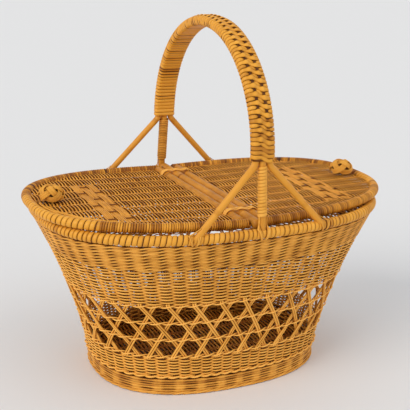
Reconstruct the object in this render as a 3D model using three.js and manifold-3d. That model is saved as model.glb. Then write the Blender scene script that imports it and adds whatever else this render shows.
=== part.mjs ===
// Oval rattan picnic basket with two lids and a fixed hooped handle.
// Millimetres, +Z up, +X along the length, origin on the ground under the middle of the basket.
import * as THREE from 'three';
import { mergeVertices } from 'three/addons/utils/BufferGeometryUtils.js';
import Module from 'manifold-3d';

const wasm = await Module();
wasm.setup();

// Driving dimensions of the woven body
const rimLength = 424.6; // over the outside of the rim hoop, along X
const rimWidth = 296.8; // over the outside of the rim hoop, along Y
const rimHeight = 201.3; // middle of the rim hoop above the ground
const rimDiameter = 12.8; // rim rod with its cane wrap
const footLength = 284.7; // over the outside of the foot border
const footWidth = 213;
const rimPower = 2.5; // squareness of the oval at the rim, where 2 is an ellipse
const footPower = 2.4;
const flarePower = 1.5; // how late the wall flares out as it rises
const wallThickness = 4;
const footBorderThickness = 7;
const footBorderHeight = 25;
const lowerWeaveHeight = 23;
const openworkHeight = 72;
const upperWeaveHeight = 45; // the upper waling fills what is left below the rim
const openworkRows = 3;
const openworkColumns = 32; // crossings in each row
const pairWidth = 4.4; // width of one pair of canes
const twineHeight = 4.2; // height of a twined row between two rows of crossings
const baseRaise = 5; // underside of the base mat above the ground
const baseThickness = 5;
const baseStickDiameter = 5;
const baseStickPitch = 30;
const baseSticksEachSide = 2;
const baseStickDepthShare = 0.6; // how deep a stick's diameter lies in the mat's underside

// Driving dimensions of the lids and their hinge
const lidOverhang = 7.7; // how far a lid reaches past the rim at the end
const lidHoopDiameter = 11;
const lidRodDiameter = 11;
const hingeBarDiameter = 12;
const hingeRodGap = 2; // between the fixed bar and each lid rod
const hingeDrop = 5.2; // how far the hinge lies below the level of a lid where it rests
const lidRestShare = 0.867; // where a lid rests on the rim, as a share of the rim's length
const lidPower = 2.6;
const lidPanelThickness = 4.2;
const ribDiameter = 3.5;
const ribMargin = 20.3; // from the hoop's middle line in to the outermost rib
const ribsEachSide = 4;
const ribDepthShare = 0.7; // how deep a rib's diameter lies in the panel's underside
const lashingWidth = 7;
const lashingThickness = 1.5;
const lashingGap = 0.4; // between a hinge lashing and the fixed bar
const lashingPlaceShare = 3.5; // a hinge lashing stands this many rib pitches from the middle
const notchGap = 0.8; // between a hinge lashing and the notch in a panel

// Driving dimensions of the knobs
const knobDiameter = 31;
const knobHeight = 24;
const knobInset = 28; // from the lid's end to the knob's middle
const tieDiameter = 2.8;
const tieSpread = 10; // between the two legs of a tie, across the middle rib
const tieReach = 9; // how far a tie's legs reach into the knob
const tieBend = 2.6; // radius of a tie's two bends

// Driving dimensions of the handle
const legHeight = 79.6; // from the middle of the rim up to where the three rods meet
const legLean = 8; // how far the legs lean in over that height
const archRise = 132; // from where the rods meet to the top of the centre rod's middle
const centreRodDiameter = 9;
const sideRodDiameter = 7.2;
const legSpread = 78; // from the centre leg to a slanting leg's foot, along X
const slantFootOffset = 3; // a slanting foot sits this far outside the rim's middle line
const legBendLength = 5; // length of each half of the bend where a side rod turns outward
const wrapThickness = 1.3;
const wrapCorner = 4;
const leaderWidth = 4.6;
const leaderThickness = 1.2;
const leaderGap = 0.5; // between the leaders and the wrap below them
const leaderSpacing = 8.4; // between the middles of the two leaders
const caneWidth = 4.4; // flat cane of the leg wraps
const caneThickness = 1.1;
const caneSpacing = 0.6; // between neighbouring turns
const bandThickness = 1.4; // cane of the foot lashings
const bandWidth = 12; // length of a foot lashing along the rim
const bandRise = 11; // height of a foot lashing above the rim

// Clearances
const joinGap = 0.3; // between pieces that touch
const restGap = 0.4; // between a closed lid and the rim
const swingGap = 0.6; // between an opening lid and the side rods
const overrun = 2; // how far a cutter runs past what it cuts

// Facet and step counts
const wallSides = 40;
const rimSides = 48;
const hoopSteps = 32;
const archSteps = 28;
const leaderSkip = 3; // arch steps left free at each end of the leaders
const tubeSides = 8;
const tieSides = 6;
const bandSides = 12;
const knobSides = 16;
const bendSteps = 4;
const turnSteps = 8;
const spacingSamples = 720;
const shareTicks = 1e7; // places round the wall are told apart to this fine a share

// Sizes worked out from the driving ones
const rimRadius = rimDiameter / 2;
const rimHalfLength = rimLength / 2 - rimRadius; // to the middle line of the rim hoop
const rimHalfWidth = rimWidth / 2 - rimRadius;
const wallTop = rimHeight - rimRadius - joinGap;
const wallTopHalfLength = rimHalfLength + wallThickness / 2;
const wallTopHalfWidth = rimHalfWidth + wallThickness / 2;
const lidHoopRadius = lidHoopDiameter / 2;
const lidRodRadius = lidRodDiameter / 2;
const hingeBarRadius = hingeBarDiameter / 2;
const hingeX = hingeBarRadius + hingeRodGap + lidRodRadius;
const restHeight = rimHeight + rimRadius + restGap + lidHoopRadius; // of a hoop where it rests
const hingeHeight = restHeight - hingeDrop;
const lidTilt = Math.atan(hingeDrop / (rimLength / 2 * lidRestShare - hingeX));
const centreRodRadius = centreRodDiameter / 2;
const sideRodRadius = sideRodDiameter / 2;
const sideRodX = centreRodRadius + joinGap + sideRodRadius;
const meetHeight = rimHeight + legHeight;
const archHalfWidth = rimHalfWidth - legLean;
const lidHalfLength = rimLength / 2 + lidOverhang - lidHoopRadius; // to the hoop's middle line
const lidHalfWidth = archHalfWidth - sideRodRadius - swingGap - lidHoopRadius;
const ribPitch = (lidHalfWidth - ribMargin) / ribsEachSide;
const panelTop = hingeHeight + lidPanelThickness / 2;
const panelBottom = hingeHeight - lidPanelThickness / 2;
const facetGrowth = 1 / Math.cos(Math.PI / tubeSides); // lets a faceted cutter clear a round

// Materials
function finish(color, roughness) {
  return new THREE.MeshStandardMaterial({ color, roughness, metalness: 0 });
}
const weaveFinish = finish(0xd99a45, 0.6);
const rimFinish = finish(0xe3a144, 0.45);
const rodFinish = finish(0xcd8a38, 0.4);
const lidFinish = finish(0xb27c3c, 0.65);
const knotFinish = finish(0xdca44a, 0.5);
const caneFinish = finish(0xe0b06a, 0.5);

function addPiece(group, name, geometry, material) {
  const mesh = new THREE.Mesh(geometry, material);
  mesh.name = name;
  group.add(mesh);
}

// A closed geometry as a solid for joining and cutting, without the faces that merging closes up
function toSolid(geometry) {
  const bare = geometry.clone();
  bare.deleteAttribute('normal');
  bare.deleteAttribute('uv');
  const merged = mergeVertices(bare);
  const triVerts = [];
  for (let i = 0; i < merged.index.count; i += 3) {
    const corners = [0, 1, 2].map((corner) => merged.index.getX(i + corner));
    if (new Set(corners).size === corners.length) {
      triVerts.push(...corners);
    }
  }
  const vertProperties = new Float32Array(merged.attributes.position.array);
  return new wasm.Manifold(
    new wasm.Mesh({ numProp: 3, vertProperties, triVerts: new Uint32Array(triVerts) }),
  );
}

function toGeometry(shape) {
  const mesh = shape.getMesh();
  const geometry = new THREE.BufferGeometry();
  geometry.setAttribute('position', new THREE.BufferAttribute(mesh.vertProperties, 3));
  geometry.setIndex(new THREE.BufferAttribute(mesh.triVerts, 1));
  geometry.computeVertexNormals();
  return geometry;
}

// A point on a squared oval, by its angle
function ovalPoint(angle, halfLength, halfWidth, power) {
  const c = Math.cos(angle);
  const s = Math.sin(angle);
  const x = halfLength * Math.sign(c) * Math.abs(c) ** (2 / power);
  const y = halfWidth * Math.sign(s) * Math.abs(s) ** (2 / power);
  return new THREE.Vector2(x, y);
}

// How far a squared oval reaches along Y at a place along X
function ovalReach(x, halfLength, halfWidth, power) {
  return halfWidth * (1 - Math.abs(x / halfLength) ** power) ** (1 / power);
}

// The outward direction of a squared oval at a point on it
function ovalOutward(point, halfLength, halfWidth, power) {
  const x = Math.sign(point.x) * Math.abs(point.x / halfLength) ** (power - 1) / halfLength;
  const y = Math.sign(point.y) * Math.abs(point.y / halfWidth) ** (power - 1) / halfWidth;
  return new THREE.Vector3(x, y, 0).normalize();
}

// Angles that stand equally far apart along the oval, from one angle to another
function evenAngles(first, last, steps, halfLength, halfWidth, power) {
  const angleAt = (part) => first + (last - first) * part / spacingSamples;
  const lengths = [0];
  for (let i = 1; i <= spacingSamples; i += 1) {
    const here = ovalPoint(angleAt(i), halfLength, halfWidth, power);
    const before = ovalPoint(angleAt(i - 1), halfLength, halfWidth, power);
    lengths.push(lengths[i - 1] + here.distanceTo(before));
  }
  const angles = [];
  let sample = 0;
  for (let i = 0; i <= steps; i += 1) {
    const wanted = lengths[spacingSamples] * i / steps;
    while (sample < spacingSamples - 1 && lengths[sample + 1] < wanted) {
      sample += 1;
    }
    const part = (wanted - lengths[sample]) / (lengths[sample + 1] - lengths[sample]);
    angles.push(angleAt(sample + part));
  }
  return angles;
}

const turn = 2 * Math.PI;
const wallStops = openworkColumns * 4;
const wallAngles = evenAngles(0, turn, wallStops, rimHalfLength, rimHalfWidth, rimPower);

// A point of the wall by its share of the way round, its height and its depth below the outside.
// The wall's oval grows and squares up from the foot to the rim.
function wallPoint(share, height, inset) {
  const rise = (height / wallTop) ** flarePower;
  const halfLength = THREE.MathUtils.lerp(footLength / 2, wallTopHalfLength, rise) - inset;
  const halfWidth = THREE.MathUtils.lerp(footWidth / 2, wallTopHalfWidth, rise) - inset;
  const power = THREE.MathUtils.lerp(footPower, rimPower, rise);
  const stop = Math.min(Math.floor(share * wallStops), wallStops - 1);
  const angle = THREE.MathUtils.lerp(wallAngles[stop], wallAngles[stop + 1], share * wallStops - stop);
  const flat = ovalPoint(angle, halfLength, halfWidth, power);
  return new THREE.Vector3(flat.x, flat.y, height);
}

// The wall's length round the outside at a height
function wallLength(height) {
  let length = 0;
  for (let stop = 0; stop < wallStops; stop += 1) {
    const here = wallPoint(stop / wallStops, height, 0);
    length += here.distanceTo(wallPoint((stop + 1) / wallStops, height, 0));
  }
  return length;
}

// A shell of the wall from cells of [share, height] corners, listed anticlockwise from outside.
// Each cell gives an outer and an inner face, and each free edge gets a face between the two.
function wallShell(cells, thickness) {
  const indexOf = new Map();
  const outer = [];
  const inner = [];
  const cornerIndex = ([share, height]) => {
    const tick = (Math.round(share * shareTicks) + shareTicks) % shareTicks;
    const key = `${tick} ${height.toFixed(4)}`;
    if (!indexOf.has(key)) {
      indexOf.set(key, outer.length);
      outer.push(wallPoint(tick / shareTicks, height, 0));
      inner.push(wallPoint(tick / shareTicks, height, thickness));
    }
    return indexOf.get(key);
  };
  const rings = cells.map((cell) => cell.map(cornerIndex));
  const count = outer.length;
  const edges = new Map();
  const index = [];
  for (const ring of rings) {
    ring.forEach((corner, i) => {
      const next = ring[(i + 1) % ring.length];
      edges.set(`${corner} ${next}`, [corner, next]);
    });
    for (let i = 1; i < ring.length - 1; i += 1) {
      index.push(ring[0], ring[i], ring[i + 1]);
      index.push(ring[0] + count, ring[i + 1] + count, ring[i] + count);
    }
  }
  for (const [from, to] of edges.values()) {
    if (!edges.has(`${to} ${from}`)) {
      index.push(to, from, from + count);
      index.push(to, from + count, to + count);
    }
  }
  const geometry = new THREE.BufferGeometry().setFromPoints([...outer, ...inner]);
  geometry.setIndex(index);
  geometry.computeVertexNormals();
  return geometry;
}

// A plain band of the wall between two heights
function wallBand(low, high, levels, thickness) {
  const cells = [];
  for (let side = 0; side < wallSides; side += 1) {
    for (let level = 0; level < levels; level += 1) {
      const left = side / wallSides;
      const right = (side + 1) / wallSides;
      const bottom = THREE.MathUtils.lerp(low, high, level / levels);
      const top = THREE.MathUtils.lerp(low, high, (level + 1) / levels);
      cells.push([[left, bottom], [right, bottom], [right, top], [left, top]]);
    }
  }
  return wallShell(cells, thickness);
}

// The openwork: twined rows, and between them rows of crossing pairs. Each row of crossings stands
// half a column along from the row below, and the gaps between the crossings are hexagons.
function openworkBand(low, high) {
  const pitch = 1 / openworkColumns;
  const around = wallLength((low + high) / 2);
  const rowHeight = (high - low - twineHeight) / openworkRows;
  const crossHeight = rowHeight - twineHeight;
  const slant = Math.hypot(pitch * around / 2, crossHeight) / crossHeight;
  const narrow = pairWidth / 2 * slant / around;
  const wide = pitch / 4 + narrow;
  const cells = [];
  for (let column = 0; column < openworkColumns; column += 1) {
    for (let row = 0; row < openworkRows; row += 1) {
      const middle = (column + row % 2 / 2) * pitch;
      const bottom = low + row * rowHeight + twineHeight;
      const waist = bottom + crossHeight / 2;
      const top = bottom + crossHeight;
      cells.push([[middle - wide, bottom], [middle + wide, bottom],
        [middle + narrow, waist], [middle - narrow, waist]]);
      cells.push([[middle - narrow, waist], [middle + narrow, waist],
        [middle + wide, top], [middle - wide, top]]);
    }
    for (let row = 0; row <= openworkRows; row += 1) {
      const bottom = low + row * rowHeight;
      const top = bottom + twineHeight;
      const below = (column + (row + 1) % 2 / 2) * pitch;
      const above = below + pitch / 2;
      cells.push([[below - wide, bottom], [below + wide, bottom],
        [above - wide, top], [above - pitch + wide, top]]);
      cells.push([[below + wide, bottom], [below + pitch - wide, bottom],
        [above + wide, top], [above - wide, top]]);
    }
  }
  return wallShell(cells, wallThickness);
}

// A closed hoop of round section along the rim's middle line
function rimRing(radius) {
  const angles = evenAngles(0, turn, rimSides, rimHalfLength, rimHalfWidth, rimPower);
  const points = [];
  const index = [];
  for (let side = 0; side < rimSides; side += 1) {
    const flat = ovalPoint(angles[side], rimHalfLength, rimHalfWidth, rimPower);
    const outward = ovalOutward(flat, rimHalfLength, rimHalfWidth, rimPower);
    for (let facet = 0; facet < tubeSides; facet += 1) {
      const angle = (facet + 0.5) / tubeSides * turn;
      const point = new THREE.Vector3(flat.x, flat.y, rimHeight + radius * Math.sin(angle));
      points.push(point.addScaledVector(outward, radius * Math.cos(angle)));
      const nextSide = (side + 1) % rimSides * tubeSides;
      const nextFacet = (facet + 1) % tubeSides;
      const here = side * tubeSides;
      index.push(here + facet, nextSide + facet, nextSide + nextFacet);
      index.push(here + facet, nextSide + nextFacet, here + nextFacet);
    }
  }
  const geometry = new THREE.BufferGeometry().setFromPoints(points);
  geometry.setIndex(index);
  geometry.computeVertexNormals();
  return geometry;
}

// A path through given stations, each with the direction that a section's first axis follows
class StationPath extends THREE.Curve {
  constructor(points, outwards) {
    super();
    this.points = points;
    this.outwards = outwards;
  }

  getPoint(share) {
    const place = share * (this.points.length - 1);
    const before = Math.min(Math.floor(place), this.points.length - 2);
    return this.points[before].clone().lerp(this.points[before + 1], place - before);
  }

  getSpacedPoints() {
    return this.points;
  }

  computeFrenetFrames() {
    const tangents = this.points.map((point, i) => {
      const before = this.points[Math.max(i - 1, 0)];
      const after = this.points[Math.min(i + 1, this.points.length - 1)];
      const arriving = point.clone().sub(before).normalize();
      return after.clone().sub(point).normalize().add(arriving).normalize();
    });
    const normals = this.outwards.map((outward, i) => (
      outward.clone().addScaledVector(tangents[i], -outward.dot(tangents[i])).normalize()
    ));
    const binormals = tangents.map((tangent, i) => tangent.clone().cross(normals[i]));
    return { tangents, normals, binormals };
  }
}

function sweep(shape, points, outwards) {
  const extrudePath = new StationPath(points, outwards);
  return new THREE.ExtrudeGeometry(shape, { steps: points.length - 1, extrudePath });
}

function roundShape(radius, sides) {
  const points = [];
  for (let i = 0; i < sides; i += 1) {
    const angle = (i + 0.5) / sides * turn;
    points.push(new THREE.Vector2(radius * Math.cos(angle), radius * Math.sin(angle)));
  }
  return new THREE.Shape(points);
}

// Corner points of a rectangle with rounded corners, anticlockwise
function roundedPoints(halfX, halfY, corner, cornerSteps) {
  const points = [];
  for (let quarter = 0; quarter < 4; quarter += 1) {
    const alongX = quarter === 0 || quarter === 3 ? 1 : -1;
    const alongY = quarter < 2 ? 1 : -1;
    for (let i = 0; i <= cornerSteps; i += 1) {
      const angle = (quarter + i / cornerSteps) * turn / 4;
      points.push(new THREE.Vector2(
        alongX * (halfX - corner) + corner * Math.cos(angle),
        alongY * (halfY - corner) + corner * Math.sin(angle),
      ));
    }
  }
  return points;
}

// A round rod between two points, with flat ends
function rodBetween(from, to, radius, sides) {
  const along = to.clone().sub(from);
  const middle = from.clone().add(to).multiplyScalar(0.5);
  const rod = new THREE.CylinderGeometry(radius, radius, along.length(), sides);
  const upright = new THREE.Vector3(0, 1, 0);
  const lean = new THREE.Quaternion().setFromUnitVectors(upright, along.normalize());
  return rod.applyQuaternion(lean).translate(middle.x, middle.y, middle.z);
}

// A board with ribs let into its underside along X, all ending at the board's outline
function boardWithRibs(outline, bottom, thickness, ribs) {
  const slab = (low, high) => new THREE.ExtrudeGeometry(
    new THREE.Shape(outline),
    { depth: high - low, bevelEnabled: false },
  ).translate(0, 0, low);
  const radius = ribs.diameter / 2;
  const middle = bottom + ribs.diameter * ribs.depthShare - radius;
  const trim = toSolid(slab(bottom - ribs.diameter, bottom + thickness));
  const reach = Math.max(...outline.map((point) => Math.abs(point.x))) + overrun;
  let board = toSolid(slab(bottom, bottom + thickness));
  const pieces = [];
  for (let place = -ribs.eachSide; place <= ribs.eachSide; place += 1) {
    const from = new THREE.Vector3(-reach, place * ribs.pitch, middle);
    const to = new THREE.Vector3(reach, place * ribs.pitch, middle);
    const groove = rodBetween(from, to, (radius + joinGap) * facetGrowth, tubeSides);
    board = board.subtract(toSolid(groove));
    pieces.push(toGeometry(toSolid(rodBetween(from, to, radius, tieSides)).intersect(trim)));
  }
  return { board, pieces };
}

// The woven body, from the ground up
function addBody(basket) {
  const bandBottoms = [0];
  for (const height of [footBorderHeight, lowerWeaveHeight, openworkHeight, upperWeaveHeight]) {
    bandBottoms.push(bandBottoms.at(-1) + height);
  }
  const [footBottom, lowerBottom, openBottom, upperBottom, walingBottom] = bandBottoms;
  const footBorder = wallBand(footBottom, lowerBottom - joinGap, 1, footBorderThickness);
  addPiece(basket, 'foot_border', footBorder, weaveFinish);
  const lowerWeave = wallBand(lowerBottom, openBottom - joinGap, 2, wallThickness);
  addPiece(basket, 'lower_weave', lowerWeave, weaveFinish);
  addPiece(basket, 'openwork', openworkBand(openBottom, upperBottom - joinGap), weaveFinish);
  const upperWeave = wallBand(upperBottom, walingBottom - joinGap, 2, wallThickness);
  addPiece(basket, 'upper_weave', upperWeave, weaveFinish);
  addPiece(basket, 'upper_waling', wallBand(walingBottom, wallTop, 1, wallThickness), weaveFinish);
  addPiece(basket, 'rim_hoop', rimRing(rimRadius), rimFinish);

  const outline = [];
  for (let side = 0; side < wallSides; side += 1) {
    const point = wallPoint(side / wallSides, baseRaise, footBorderThickness + joinGap);
    outline.push(new THREE.Vector2(point.x, point.y));
  }
  const mat = boardWithRibs(outline, baseRaise, baseThickness, {
    diameter: baseStickDiameter,
    pitch: baseStickPitch,
    eachSide: baseSticksEachSide,
    depthShare: baseStickDepthShare,
  });
  addPiece(basket, 'base_mat', toGeometry(mat.board), weaveFinish);
  mat.pieces.forEach((stick, i) => addPiece(basket, `base_stick_${i + 1}`, stick, rodFinish));
}

// The middle line of the front centre leg
const legFoot = new THREE.Vector3(0, -rimHalfWidth, rimHeight);
const legTop = new THREE.Vector3(0, -archHalfWidth, meetHeight);

function legPointAt(height) {
  return legFoot.clone().lerp(legTop, (height - rimHeight) / legHeight);
}

// The foot, elbow and lower bend end of a slanting leg at the front, on the +X side
function slantingLeg() {
  const foot = new THREE.Vector3(
    legSpread,
    -ovalReach(legSpread, rimHalfLength, rimHalfWidth, rimPower),
    rimHeight,
  );
  const outward = ovalOutward(foot, rimHalfLength, rimHalfWidth, rimPower);
  foot.addScaledVector(outward, slantFootOffset);
  const elbow = new THREE.Vector3(sideRodX, -archHalfWidth, meetHeight - legBendLength);
  const down = foot.clone().sub(elbow).normalize();
  return { foot, elbow, down, bendEnd: elbow.clone().addScaledVector(down, legBendLength) };
}

// Stations of the arch at a place along X and a distance outside its middle line
function archStations(x, outside, first, last) {
  const points = [];
  const outwards = [];
  for (let i = first; i <= last; i += 1) {
    const angle = Math.PI * i / archSteps;
    const c = Math.cos(angle);
    const s = Math.sin(angle);
    const outward = new THREE.Vector3(0, -c / archHalfWidth, s / archRise).normalize();
    const point = new THREE.Vector3(x, -archHalfWidth * c, meetHeight + archRise * s);
    points.push(point.addScaledVector(outward, outside));
    outwards.push(outward);
  }
  return { points, outwards };
}

// A rod that runs up a front leg, over the arch and down the matching back leg.
// The leg's points run from its foot up to the arch, and the rod is cut where it meets the rim.
function archedRod(x, radius, legPoints) {
  const arch = archStations(x, 0, 0, archSteps);
  const front = new THREE.Vector3(0, -1, 0);
  const back = new THREE.Vector3(0, 1, 0);
  const mirrored = legPoints.map((point) => new THREE.Vector3(point.x, -point.y, point.z));
  const points = [...legPoints, ...arch.points, ...mirrored.reverse()];
  const outwards = [...legPoints.map(() => front), ...arch.outwards, ...legPoints.map(() => back)];
  const rod = toSolid(sweep(roundShape(radius, tubeSides), points, outwards));
  return rod.subtract(toSolid(rimRing((rimRadius + joinGap) * facetGrowth)));
}

// The least distance from a wound strip's corners to its own edges, half a turn or more away. The
// corners of the section run along the path as its edges.
function leastTurnGap(path, corners) {
  const { normals, binormals } = path.computeFrenetFrames();
  const edges = corners.map((corner) => path.points.map((point, i) => (
    point.clone().addScaledVector(normals[i], corner.x).addScaledVector(binormals[i], corner.y)
  )));
  const stretch = new THREE.Line3();
  const nearest = new THREE.Vector3();
  let least = Infinity;
  for (const other of edges) {
    for (let j = 0; j < other.length - 1; j += 1) {
      stretch.set(other[j], other[j + 1]);
      for (const edge of edges) {
        edge.forEach((point, i) => {
          if (Math.min(Math.abs(i - j), Math.abs(i - j - 1)) >= turnSteps / 2) {
            stretch.closestPointToPoint(point, true, nearest);
            least = Math.min(least, nearest.distanceTo(point));
          }
        });
      }
    }
  }
  return least;
}

// A cane wound round a leg from one point up to another: a strip with one unbroken run of turns.
// Its ends run straight on for one thickness of the cane.
function woundCane(from, to, coreRadius) {
  const axis = to.clone().sub(from);
  const length = axis.length() - caneWidth;
  axis.normalize();
  const turns = Math.round(length / (caneWidth + caneSpacing));
  const inner = (coreRadius + joinGap) / Math.cos(Math.PI / turnSteps);
  const radius = inner + caneThickness / 2;
  const side = new THREE.Vector3(1, 0, 0);
  const depth = axis.clone().cross(side);
  const points = [];
  const outwards = [];
  for (let i = 0; i <= turns * turnSteps; i += 1) {
    const angle = i / turnSteps * turn;
    const outward = side.clone().multiplyScalar(Math.cos(angle));
    outward.addScaledVector(depth, Math.sin(angle));
    const rise = caneWidth / 2 + length * i / (turns * turnSteps);
    points.push(from.clone().addScaledVector(axis, rise).addScaledVector(outward, radius));
    outwards.push(outward);
  }
  const firstRun = points[0].clone().sub(points[1]).setLength(caneThickness);
  const lastRun = points.at(-1).clone().sub(points.at(-2)).setLength(caneThickness);
  points.unshift(points[0].clone().add(firstRun));
  points.push(points.at(-1).clone().add(lastRun));
  outwards.unshift(outwards[0]);
  outwards.push(outwards.at(-1));
  const halfThick = caneThickness / 2;
  const halfWide = caneWidth / 2;
  const strip = new THREE.Shape([
    new THREE.Vector2(halfThick, -halfWide),
    new THREE.Vector2(halfThick, halfWide),
    new THREE.Vector2(-halfThick, halfWide),
    new THREE.Vector2(-halfThick, -halfWide),
  ]);
  const gap = leastTurnGap(new StationPath(points, outwards), strip.getPoints());
  console.log(`leg wrap: ${turns} turns, least gap between them ${gap.toFixed(2)} mm`);
  return sweep(strip, points, outwards);
}

// The cane that ties a leg's foot over the rim: a band round the rim, open where the wall comes up
// inside it, and a sleeve round the foot of the rod.
function footLashing(foot, up, rodRadius) {
  const rimPoint = new THREE.Vector3(
    foot.x,
    -ovalReach(foot.x, rimHalfLength, rimHalfWidth, rimPower),
    rimHeight,
  );
  const outward = ovalOutward(rimPoint, rimHalfLength, rimHalfWidth, rimPower);
  const along = new THREE.Vector3(-outward.y, outward.x, 0);
  const bandRadius = rimRadius + joinGap + bandThickness;
  const band = toSolid(rodBetween(
    rimPoint.clone().addScaledVector(along, -bandWidth / 2),
    rimPoint.clone().addScaledVector(along, bandWidth / 2),
    bandRadius * facetGrowth,
    bandSides,
  ));
  const sleeveLength = (rimRadius + bandRise) / up.z;
  const sleeveTop = foot.clone().addScaledVector(up, sleeveLength);
  const sleeveRadius = rodRadius + joinGap + bandThickness;
  const sleeve = toSolid(rodBetween(foot, sleeveTop, sleeveRadius * facetGrowth, bandSides));
  const bore = toSolid(rodBetween(
    foot.clone().addScaledVector(up, -overrun),
    sleeveTop.clone().addScaledVector(up, overrun),
    (rodRadius + joinGap) * facetGrowth,
    tubeSides,
  ));
  const slotHeight = bandRadius + overrun;
  const slot = new THREE.BoxGeometry(bandWidth * 2, wallThickness + overrun * 2, slotHeight);
  slot.rotateZ(Math.atan2(along.y, along.x));
  slot.translate(rimPoint.x, rimPoint.y, rimPoint.z - slotHeight / 2);
  const rim = toSolid(rimRing((rimRadius + joinGap) * facetGrowth));
  return toGeometry(band.add(sleeve).subtract(bore).subtract(rim).subtract(toSolid(slot)));
}

function addHandle(basket) {
  const leg = slantingLeg();
  const archFoot = archStations(sideRodX, 0, 0, 0).points[0];
  const bend = new THREE.QuadraticBezierCurve3(leg.bendEnd, leg.elbow, archFoot);
  const rightLeg = [leg.foot, ...bend.getPoints(bendSteps).slice(0, -1)];
  const leftLeg = rightLeg.map((point) => new THREE.Vector3(-point.x, point.y, point.z));
  const centreRod = archedRod(0, centreRodRadius, [legFoot]);
  const rightRod = archedRod(sideRodX, sideRodRadius, rightLeg);
  const leftRod = archedRod(-sideRodX, sideRodRadius, leftLeg);
  addPiece(basket, 'handle_centre_rod', toGeometry(centreRod), rodFinish);
  addPiece(basket, 'handle_side_rod_right', toGeometry(rightRod), rodFinish);
  addPiece(basket, 'handle_side_rod_left', toGeometry(leftRod), rodFinish);

  const boreHalfThick = Math.max(centreRodRadius, sideRodRadius) + joinGap;
  const boreHalfWide = sideRodX + sideRodRadius + joinGap;
  const wrapHalfThick = boreHalfThick + wrapThickness;
  const wrap = new THREE.Shape(
    roundedPoints(wrapHalfThick, boreHalfWide + wrapThickness, wrapCorner, 2),
  );
  const borePoints = roundedPoints(boreHalfThick, boreHalfWide, wrapCorner - wrapThickness, 1);
  wrap.holes.push(new THREE.Path(borePoints));
  const arch = archStations(0, 0, 0, archSteps);
  addPiece(basket, 'handle_wrap', sweep(wrap, arch.points, arch.outwards), rimFinish);

  const leader = new THREE.Shape(
    roundedPoints(leaderThickness / 2, leaderWidth / 2, leaderThickness / 2, 1),
  );
  const outside = wrapHalfThick + leaderGap + leaderThickness / 2;
  for (const [name, x] of [['left', -leaderSpacing / 2], ['right', leaderSpacing / 2]]) {
    const line = archStations(x, outside, leaderSkip, archSteps - leaderSkip);
    addPiece(basket, `handle_leader_${name}`, sweep(leader, line.points, line.outwards), caneFinish);
  }

  const legUp = legTop.clone().sub(legFoot).normalize();
  const slantUp = leg.down.clone().negate();
  const mirror = (vector) => new THREE.Vector3(-vector.x, vector.y, vector.z);
  const clearX = centreRodRadius + joinGap + caneThickness + caneSpacing;
  const wrapDrop = legBendLength + (clearX + sideRodRadius / slantUp.z - sideRodX) * slantUp.z;
  const caneFrom = legPointAt(rimHeight + rimRadius + bandRise + joinGap + caneSpacing);
  const caneTo = legPointAt(meetHeight - wrapDrop);
  const cane = woundCane(caneFrom, caneTo, centreRodRadius);
  const lashings = {
    middle: footLashing(legFoot, legUp, centreRodRadius),
    right: footLashing(leg.foot, slantUp, sideRodRadius),
    left: footLashing(mirror(leg.foot), mirror(slantUp), sideRodRadius),
  };
  for (const [end, angle] of [['front', 0], ['back', Math.PI]]) {
    const side = new THREE.Group();
    side.rotation.z = angle;
    basket.add(side);
    addPiece(side, `leg_wrap_${end}`, cane, caneFinish);
    for (const [place, lashing] of Object.entries(lashings)) {
      addPiece(side, `foot_lashing_${end}_${place}`, lashing, caneFinish);
    }
  }
}

// The fixed bar across the mouth, and the cane loops that tie the two lid rods to it
const lashingInner = Math.max(hingeBarRadius, lidRodRadius) + lashingGap;
const lashingOuter = lashingInner + lashingThickness;
const lashingPlace = lashingPlaceShare * ribPitch;

function addHinge(basket) {
  const sleeveReach = (centreRodRadius + joinGap + bandThickness) * facetGrowth;
  const bandReach = (rimRadius + joinGap + bandThickness) * facetGrowth;
  const sleeveInside = -legPointAt(hingeHeight + hingeBarRadius).y - sleeveReach;
  const barEnd = Math.min(sleeveInside, rimHalfWidth - bandReach) - joinGap;
  const bar = rodBetween(
    new THREE.Vector3(0, -barEnd, hingeHeight),
    new THREE.Vector3(0, barEnd, hingeHeight),
    hingeBarRadius,
    bandSides,
  );
  addPiece(basket, 'hinge_bar', bar, rodFinish);
  const loop = new THREE.Shape(roundedPoints(hingeX + lashingOuter, lashingOuter, lashingOuter, 4));
  loop.holes.push(new THREE.Path(
    roundedPoints(hingeX + lashingInner, lashingInner, lashingInner, 4),
  ));
  for (const [end, y] of [['front', -lashingPlace], ['back', lashingPlace]]) {
    const lashing = new THREE.ExtrudeGeometry(loop, { depth: lashingWidth, bevelEnabled: false });
    lashing.translate(0, 0, -lashingWidth / 2).rotateX(Math.PI / 2);
    lashing.translate(0, y, hingeHeight);
    addPiece(basket, `hinge_lashing_${end}`, lashing, caneFinish);
  }
}

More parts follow.
